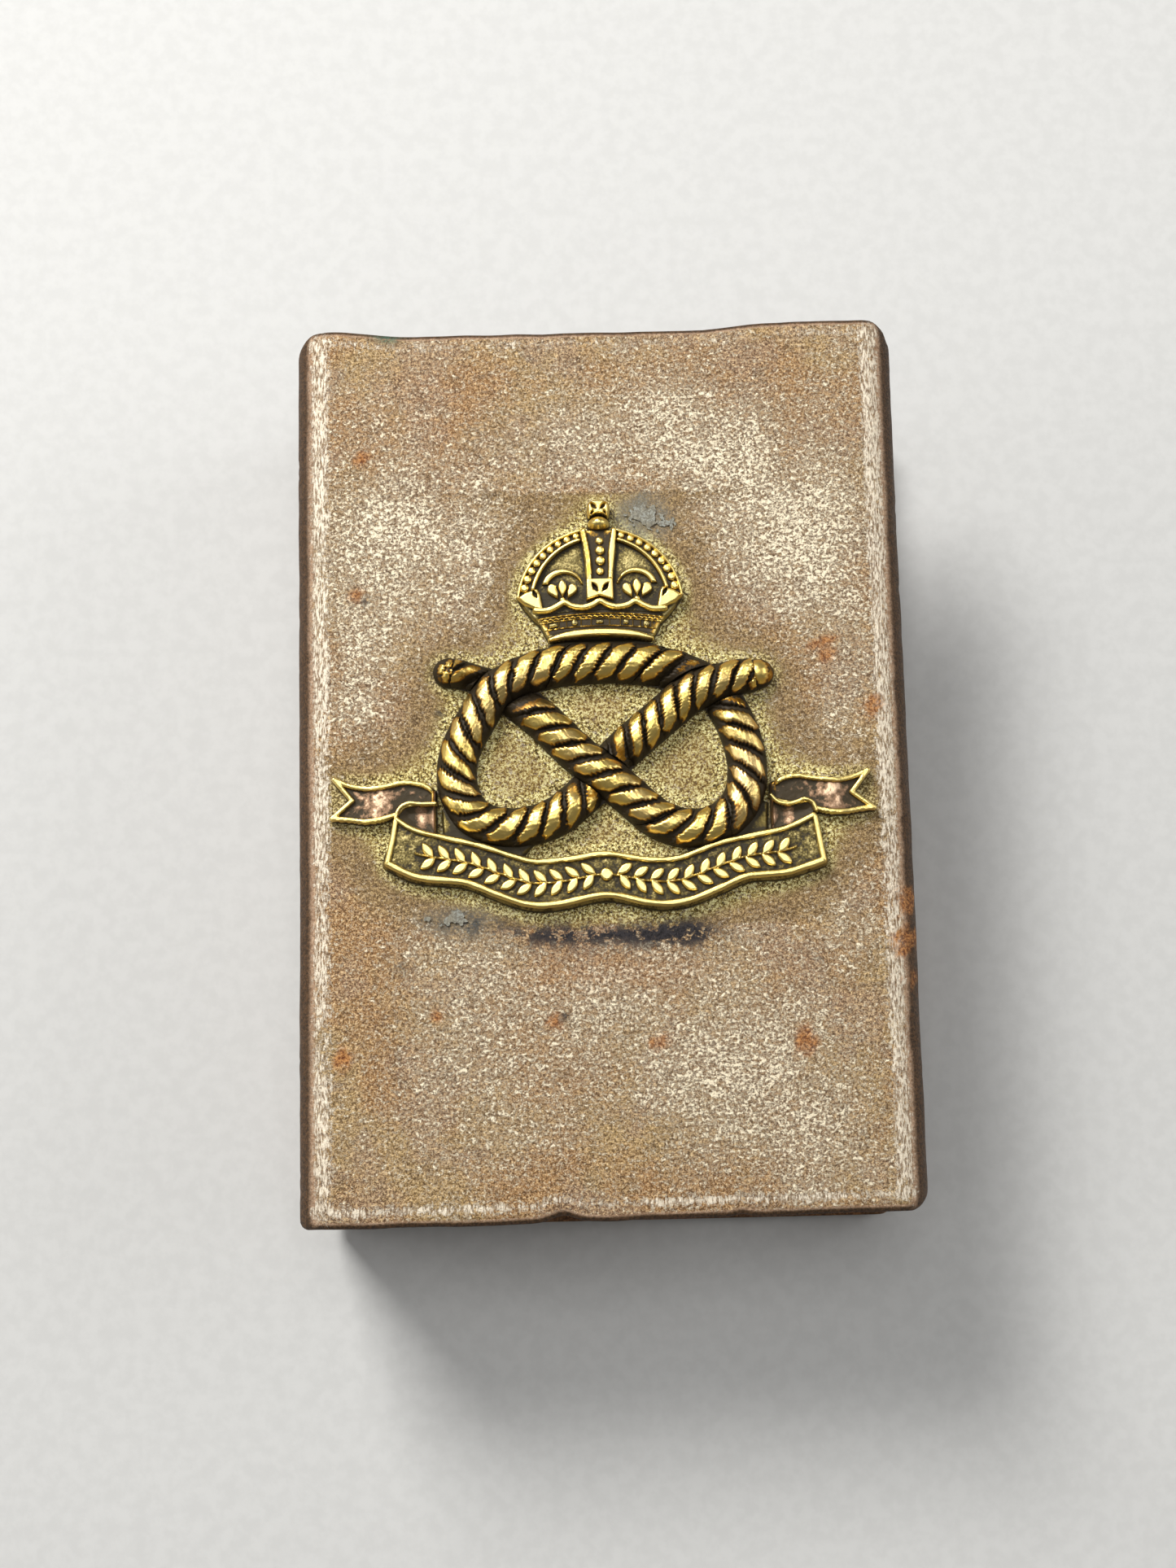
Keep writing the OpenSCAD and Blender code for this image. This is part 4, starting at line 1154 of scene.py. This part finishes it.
class Shader:
    """A node material, with short calls for the few kinds of node that this scene uses.

    Colours are given as three screen values from 0 to 255.
    """

    def __init__(self, name):
        self.material = bpy.data.materials.new(name)
        self.material.use_nodes = True
        self.nodes = self.material.node_tree.nodes
        self.links = self.material.node_tree.links
        self.surface = self.nodes["Principled BSDF"]
        self.place = self.nodes.new("ShaderNodeTexCoord").outputs["Object"]

    def put(self, socket, value):
        if isinstance(value, bpy.types.NodeSocket):
            self.links.new(value, socket)
        elif isinstance(value, tuple) and socket.type == "RGBA":
            socket.default_value = srgb(*value)
        else:
            socket.default_value = value

    def node(self, kind, inputs, **settings):
        """A new node with its settings and its inputs, which are given by name or by number."""
        node = self.nodes.new("ShaderNode" + kind)
        for name, value in settings.items():
            setattr(node, name, value)
        for key, value in inputs.items():
            self.put(node.inputs[key], value)
        return node

    def layer(self, name):
        return self.node("Attribute", {}, attribute_name=name).outputs["Fac"]

    def stretched(self, scale, turn):
        inputs = {"Rotation": (0, 0, math.radians(turn)), "Scale": scale, "Vector": self.place}
        return self.node("Mapping", inputs).outputs["Vector"]

    def noise(self, size, detail=3.0, roughness=0.55, place=None, distortion=0.0):
        """Noise from 0 to 1 with lumps about size millimetres across."""
        inputs = {
            "Scale": 1 / (size * MM), "Detail": detail, "Roughness": roughness, "Distortion": distortion,
            "Vector": place or self.place,
        }
        return self.node("TexNoise", inputs).outputs["Fac"]

    def add(self, a, b):
        return self.node("Math", {0: a, 1: b}, operation="ADD").outputs[0]

    def times(self, a, b):
        return self.node("Math", {0: a, 1: b}, operation="MULTIPLY").outputs[0]

    def larger(self, a, b):
        return self.node("Math", {0: a, 1: b}, operation="MAXIMUM").outputs[0]

    def step(self, value, low, high, start=0.0, end=1.0):
        """Goes smoothly from start to end while the value goes from low to high."""
        inputs = {"Value": value, "From Min": low, "From Max": high, "To Min": start, "To Max": end}
        return self.node("MapRange", inputs, interpolation_type="SMOOTHSTEP").outputs["Result"]

    def mix(self, factor, a, b):
        """A mix of two colours."""
        return self.node("Mix", {0: factor, 6: a, 7: b}, data_type="RGBA").outputs[2]

    def blend(self, factor, a, b):
        """A mix of two plain values."""
        return self.node("Mix", {0: factor, 2: a, 3: b}, data_type="FLOAT").outputs[0]

    def bump(self, height, depth, before=None):
        """Bump from a height of 0 to 1 that stands depth millimetres tall."""
        inputs = {"Strength": 1.0, "Distance": depth * MM, "Height": height}
        if before is not None:
            inputs["Normal"] = before
        return self.node("Bump", inputs).outputs["Normal"]

    def finish(self, color, metallic, roughness, normal, specular=0.5):
        inputs = {
            "Base Color": color, "Metallic": metallic, "Roughness": roughness, "Normal": normal,
            "Specular IOR Level": specular,
        }
        for name, value in inputs.items():
            self.put(self.surface.inputs[name], value)
        return self.material


def brass(name, bright, body, dirt, clean=0.5, grain=0.02, blotch=0.1, speck=0.07):
    """Old brass: bright where the hand rubs it, brown in the body, near black in the hollows, and lighter
    or darker where a piece paints a highlight or shade into its deep layer.
    """
    m = Shader(name)
    patchy = m.noise(0.7, 4, 0.6)
    fine = m.noise(0.13, 3, 0.65)
    level = m.add(m.layer("deep"), m.step(patchy, 0.3, 0.7, -blotch, blotch))
    level = m.add(level, m.step(fine, 0.3, 0.7, -speck, speck))
    rubbed_and_sheen = m.step(level, clean - 0.25, clean + 0.02, 1.0, 0.0)
    dirty = m.step(level, clean, clean + 0.26)
    blush = m.layer("blush")
    color = m.mix(rubbed_and_sheen, m.mix(blush, body, (140, 112, 88)), m.mix(blush, bright, (216, 184, 152)))
    color = m.mix(dirty, color, dirt)
    metallic = m.blend(dirty, 1.0, 0.3)
    roughness = m.blend(dirty, m.blend(rubbed_and_sheen, 0.45, 0.32), 0.6)
    return m.finish(color, metallic, roughness, m.bump(fine, grain))


class Steel(Shader):
    """Old sheet steel. Each method lays one kind of mark over the colour that it is given."""

    def __init__(self, name):
        super().__init__(name)
        self.wide = self.noise(7, 3, 0.55)
        self.middle = self.noise(1.1, 4, 0.65)
        self.flakes = self.noise(0.42, 5, 0.76, self.stretched((1.0, 1.4, 1.0), 20), 1.0)
        self.grain = self.noise(0.2, 4.0, 0.8)
        self.fine = self.noise(0.08, 2.0, 0.6)
        self.streaks = self.noise(0.12, 3.0, 0.7, self.stretched((1.0, 0.22, 1.0), 0))
        self.about = self.layer("about")
        self.stained = self.step(self.about, 0.42, 0.8)

    def skin(self):
        """The tan and lilac skin, darker and greener in the halo around the badge."""
        halo = self.step(self.about, 0.03, 0.3)
        base = self.mix(self.step(self.wide, 0.42, 0.58), (156, 112, 64), (166, 136, 86))
        base = self.mix(self.step(self.noise(4.5, 3, 0.6), 0.5, 0.62, 0, 0.7), base, (150, 120, 98))
        frost = self.step(self.layer("fleck"), 0.3, 0.8)
        base = self.mix(self.times(frost, 0.8), base, (160, 134, 104))
        base = self.mix(halo, base, (138, 110, 70))
        base = self.mix(self.stained, base, (146, 124, 72))
        shade = self.mix(halo, (70, 48, 26), (64, 44, 20))
        shine = self.mix(halo, (244, 214, 164), (210, 182, 130))
        color = self.mix(self.step(self.grain, 0.42, 0.49, 0.8, 0), base, shade)
        color = self.mix(self.step(self.grain, 0.52, 0.6, 0, 0.8), color, shine)
        color = self.mix(self.step(self.middle, 0.36, 0.46, 0.4, 0), color, shade)
        color = self.mix(self.step(self.fine, 0.4, 0.48, 0.5, 0), color, shade)
        return self.mix(self.step(self.fine, 0.54, 0.62, 0, 0.4), color, shine)

    def gilding(self, color):
        """The speckled gold that the badge has left on the steel close to it."""
        speckle = self.noise(0.16, 3.0, 0.8)
        dark = self.mix(self.stained, (76, 58, 26), (54, 40, 8))
        body = self.mix(self.stained, (130, 110, 58), (174, 148, 74))
        light = self.mix(self.stained, (222, 204, 148), (255, 248, 184))
        gilt = self.mix(self.step(speckle, 0.42, 0.48), dark, body)
        gilt = self.mix(self.step(speckle, 0.51, 0.57), gilt, light)
        gilt = self.mix(self.step(self.layer("gilt"), 0.1, 0.5, 0.4, 0), gilt, (128, 96, 54))
        close = self.larger(self.step(self.layer("gilt"), 0.06, 0.4), self.step(self.about, 0.42, 0.75))
        return self.mix(close, color, gilt)

    def flecks(self, color):
        """A pale haze, and in it silvery flecks, which are also given back on their own."""
        level = self.add(self.times(self.layer("fleck"), 0.2), self.flakes)
        level = self.add(level, self.step(self.grain, 0.35, 0.65, -0.1, 0.1))
        color = self.mix(self.step(level, 0.56, 0.66, 0, 0.45), color, (196, 176, 152))
        silver = self.step(level, 0.65, 0.71, 0, 0.9)
        pale = self.mix(self.step(self.grain, 0.38, 0.5), (148, 122, 92), (252, 238, 208))
        return self.mix(silver, color, pale), silver

    def edges(self, color):
        """Lilac and then dark brown round the bends as painted shade, and the pale bands there, partly bare
        metal worn through them and partly a painted highlight.
        """
        # Painted shade round the bends: lilac on the shoulder, then near-black umber as the sheet turns
        # away.
        brown = self.layer("brown")
        lilac = self.mix(self.step(self.grain, 0.4, 0.6), (150, 118, 90), (194, 164, 138))
        color = self.mix(self.step(brown, 0.02, 0.3, 0, 0.85), color, lilac)
        umber = self.mix(self.step(self.grain, 0.4, 0.62), (42, 28, 12), (92, 62, 32))
        color = self.mix(self.step(brown, 0.25, 0.7, 0, 0.95), color, umber)
        # Worn is partly bare metal and partly a painted highlight along the face's bends and ends.
        worn = self.add(self.layer("worn"), self.step(self.streaks, 0.3, 0.7, -0.2, 0.2))
        worn = self.add(worn, self.step(self.flakes, 0.3, 0.7, -0.3, 0.3))
        worn = self.step(worn, 0.45, 1.0, 0, 0.85)
        bare = self.mix(self.step(self.streaks, 0.4, 0.58), (150, 128, 104), (248, 236, 214))
        return self.mix(worn, color, bare), worn

    def marks(self, color):
        """Rust, the blue-black stain, verdigris and smeared solder. The rust is also given back."""
        rust = self.times(self.layer("rust"), self.step(self.middle, 0.3, 0.6, 0.35, 0.9))
        orange = self.mix(self.step(self.grain, 0.42, 0.58), (104, 52, 18), (206, 142, 78))
        color = self.mix(rust, color, orange)
        level = self.add(self.middle, self.step(self.flakes, 0.3, 0.7, -0.1, 0.1))
        blotch = self.step(level, 0.43, 0.52, 0.1, 1.0)
        color = self.mix(self.times(self.layer("stain"), blotch), color, (44, 40, 42))
        verdigris = self.times(self.layer("green"), self.step(self.grain, 0.42, 0.52))
        color = self.mix(verdigris, color, (58, 100, 82))
        smear = self.mix(self.step(self.fine, 0.42, 0.58), (136, 138, 130), (98, 94, 80))
        return self.mix(self.times(self.layer("grey"), 0.8), color, smear), rust

    def build(self):
        color, silver = self.flecks(self.gilding(self.skin()))
        color, worn = self.edges(color)
        color, rust = self.marks(color)
        bright = self.larger(silver, worn)
        rough = self.blend(bright, self.step(self.wide, 0.3, 0.7, 0.65, 0.55), 0.4)
        rough = self.blend(rust, rough, 0.75)
        metallic = self.blend(rust, self.blend(bright, 0.1, 0.45), 0.0)
        normal = self.bump(self.grain, 0.07)
        normal = self.bump(bright, 0.03, normal)
        normal = self.bump(self.fine, 0.04, normal)
        return self.finish(color, metallic, rough, normal, specular=0.3)


def solder(name, pale, warm, dark):
    """Dull solder, warm where it wetted the brass and darker in its pits."""
    m = Shader(name)
    patchy = m.noise(0.8, 4, 0.6)
    fine = m.noise(0.15, 4, 0.7)
    color = m.mix(m.step(patchy, 0.35, 0.65), pale, warm)
    color = m.mix(m.step(fine, 0.44, 0.56), color, dark)
    return m.finish(color, 0.5, m.step(patchy, 0.3, 0.7, 0.4, 0.55), m.bump(fine, 0.03))


def make_materials():
    """The materials by slot, and one by node for the smears of solder."""
    return {
        "steel_sheet": Steel("worn_steel").build(),
        "solder": solder("old_solder", (104, 96, 70), (124, 108, 62), (50, 40, 20)),
        "solder_spots": solder("smeared_solder", (134, 136, 128), (128, 122, 104), (104, 100, 88)),
        "web_brass": brass("web_brass", (156, 142, 90), (112, 98, 56), (50, 42, 20), clean=0.6, grain=0.03),
        "rope_brass": brass("rope_brass", (248, 216, 124), (172, 122, 38), (44, 33, 12), clean=0.42),
        "ground_brass": brass(
            "ground_brass", (160, 146, 98), (104, 92, 56), (46, 39, 20),
            grain=0.04, blotch=0.05, speck=0.16,
        ),
        "raised_brass": brass(
            "raised_brass", (246, 222, 140), (174, 134, 54), (52, 41, 18), clean=0.47, blotch=0.06,
        ),
    }


# ---------- Floor, light and camera

FLOOR_W = 1200
# Name, place, width, power and colour
LIGHTS = [
    ("key", (-150, 230, 300), 150, 1.7, (1.0, 0.985, 0.96)),
    ("fill_left", (-330, 20, 190), 220, 0.3, (1, 1, 1)),
    ("fill_right", (330, 60, 200), 220, 0.4, (1, 1, 1)),
    ("top", (10, 40, 420), 150, 0.35, (1, 1, 1)),
]
# The lens in its own millimetres, and the camera's turns about X, Y and Z in degrees
LENS = 54.0
CAMERA_PLACE = (-1.23, -28.16, 149.2 + CASE_H)
CAMERA_TURN = (10.053, 0.164, -1.314)


def make_floor():
    m = Shader("pale_floor")
    tone = m.noise(1.2, 4, 0.6)
    color = m.mix(m.step(tone, 0.35, 0.65), (200, 200, 198), (205, 205, 203))
    half = FLOOR_W / 2 * MM
    corners = [(-half, -half, 0), (half, -half, 0), (half, half, 0), (-half, half, 0)]
    mesh = bpy.data.meshes.new("floor")
    mesh.from_pydata(corners, [], [(0, 1, 2, 3)])
    mesh.materials.append(m.finish(color, 0.0, 0.8, m.bump(tone, 0.01)))
    floor = bpy.data.objects.new("floor", mesh)
    bpy.context.scene.collection.objects.link(floor)


def make_lights():
    """Square soft lights that all look at the middle of the face, and a faint even glow from all round."""
    middle = Vector((0, 0, CASE_H))
    for name, place, size, power, color in LIGHTS:
        data = bpy.data.lights.new(name, "AREA")
        data.size = size * MM
        data.energy = power
        data.color = color
        light = bpy.data.objects.new(name, data)
        light.location = Vector(place) * MM
        light.rotation_euler = (middle - Vector(place)).to_track_quat("-Z", "Y").to_euler()
        bpy.context.scene.collection.objects.link(light)
    world = bpy.data.worlds.new("studio")
    world.use_nodes = True
    glow = world.node_tree.nodes["Background"]
    glow.inputs["Color"].default_value = (1.0, 0.99, 0.97, 1)
    glow.inputs["Strength"].default_value = 0.15
    bpy.context.scene.world = world
    bpy.context.scene.view_settings.view_transform = "Standard"


def make_camera():
    data = bpy.data.cameras.new("camera")
    data.lens = LENS
    data.sensor_width = 36
    data.clip_start = 0.01
    data.clip_end = 5
    camera = bpy.data.objects.new("camera", data)
    camera.location = Vector(CAMERA_PLACE) * MM
    camera.rotation_euler = Euler([math.radians(angle) for angle in CAMERA_TURN])
    bpy.context.scene.collection.objects.link(camera)
    bpy.context.scene.camera = camera


# ---------- Build

make_camera()
make_lights()
make_floor()
materials = make_materials()
make_rope()
make_scroll()
make_crown()
make_web()
make_solder()
surface = Surface()
build_reliefs(surface, materials)
make_sleeve(surface, materials)
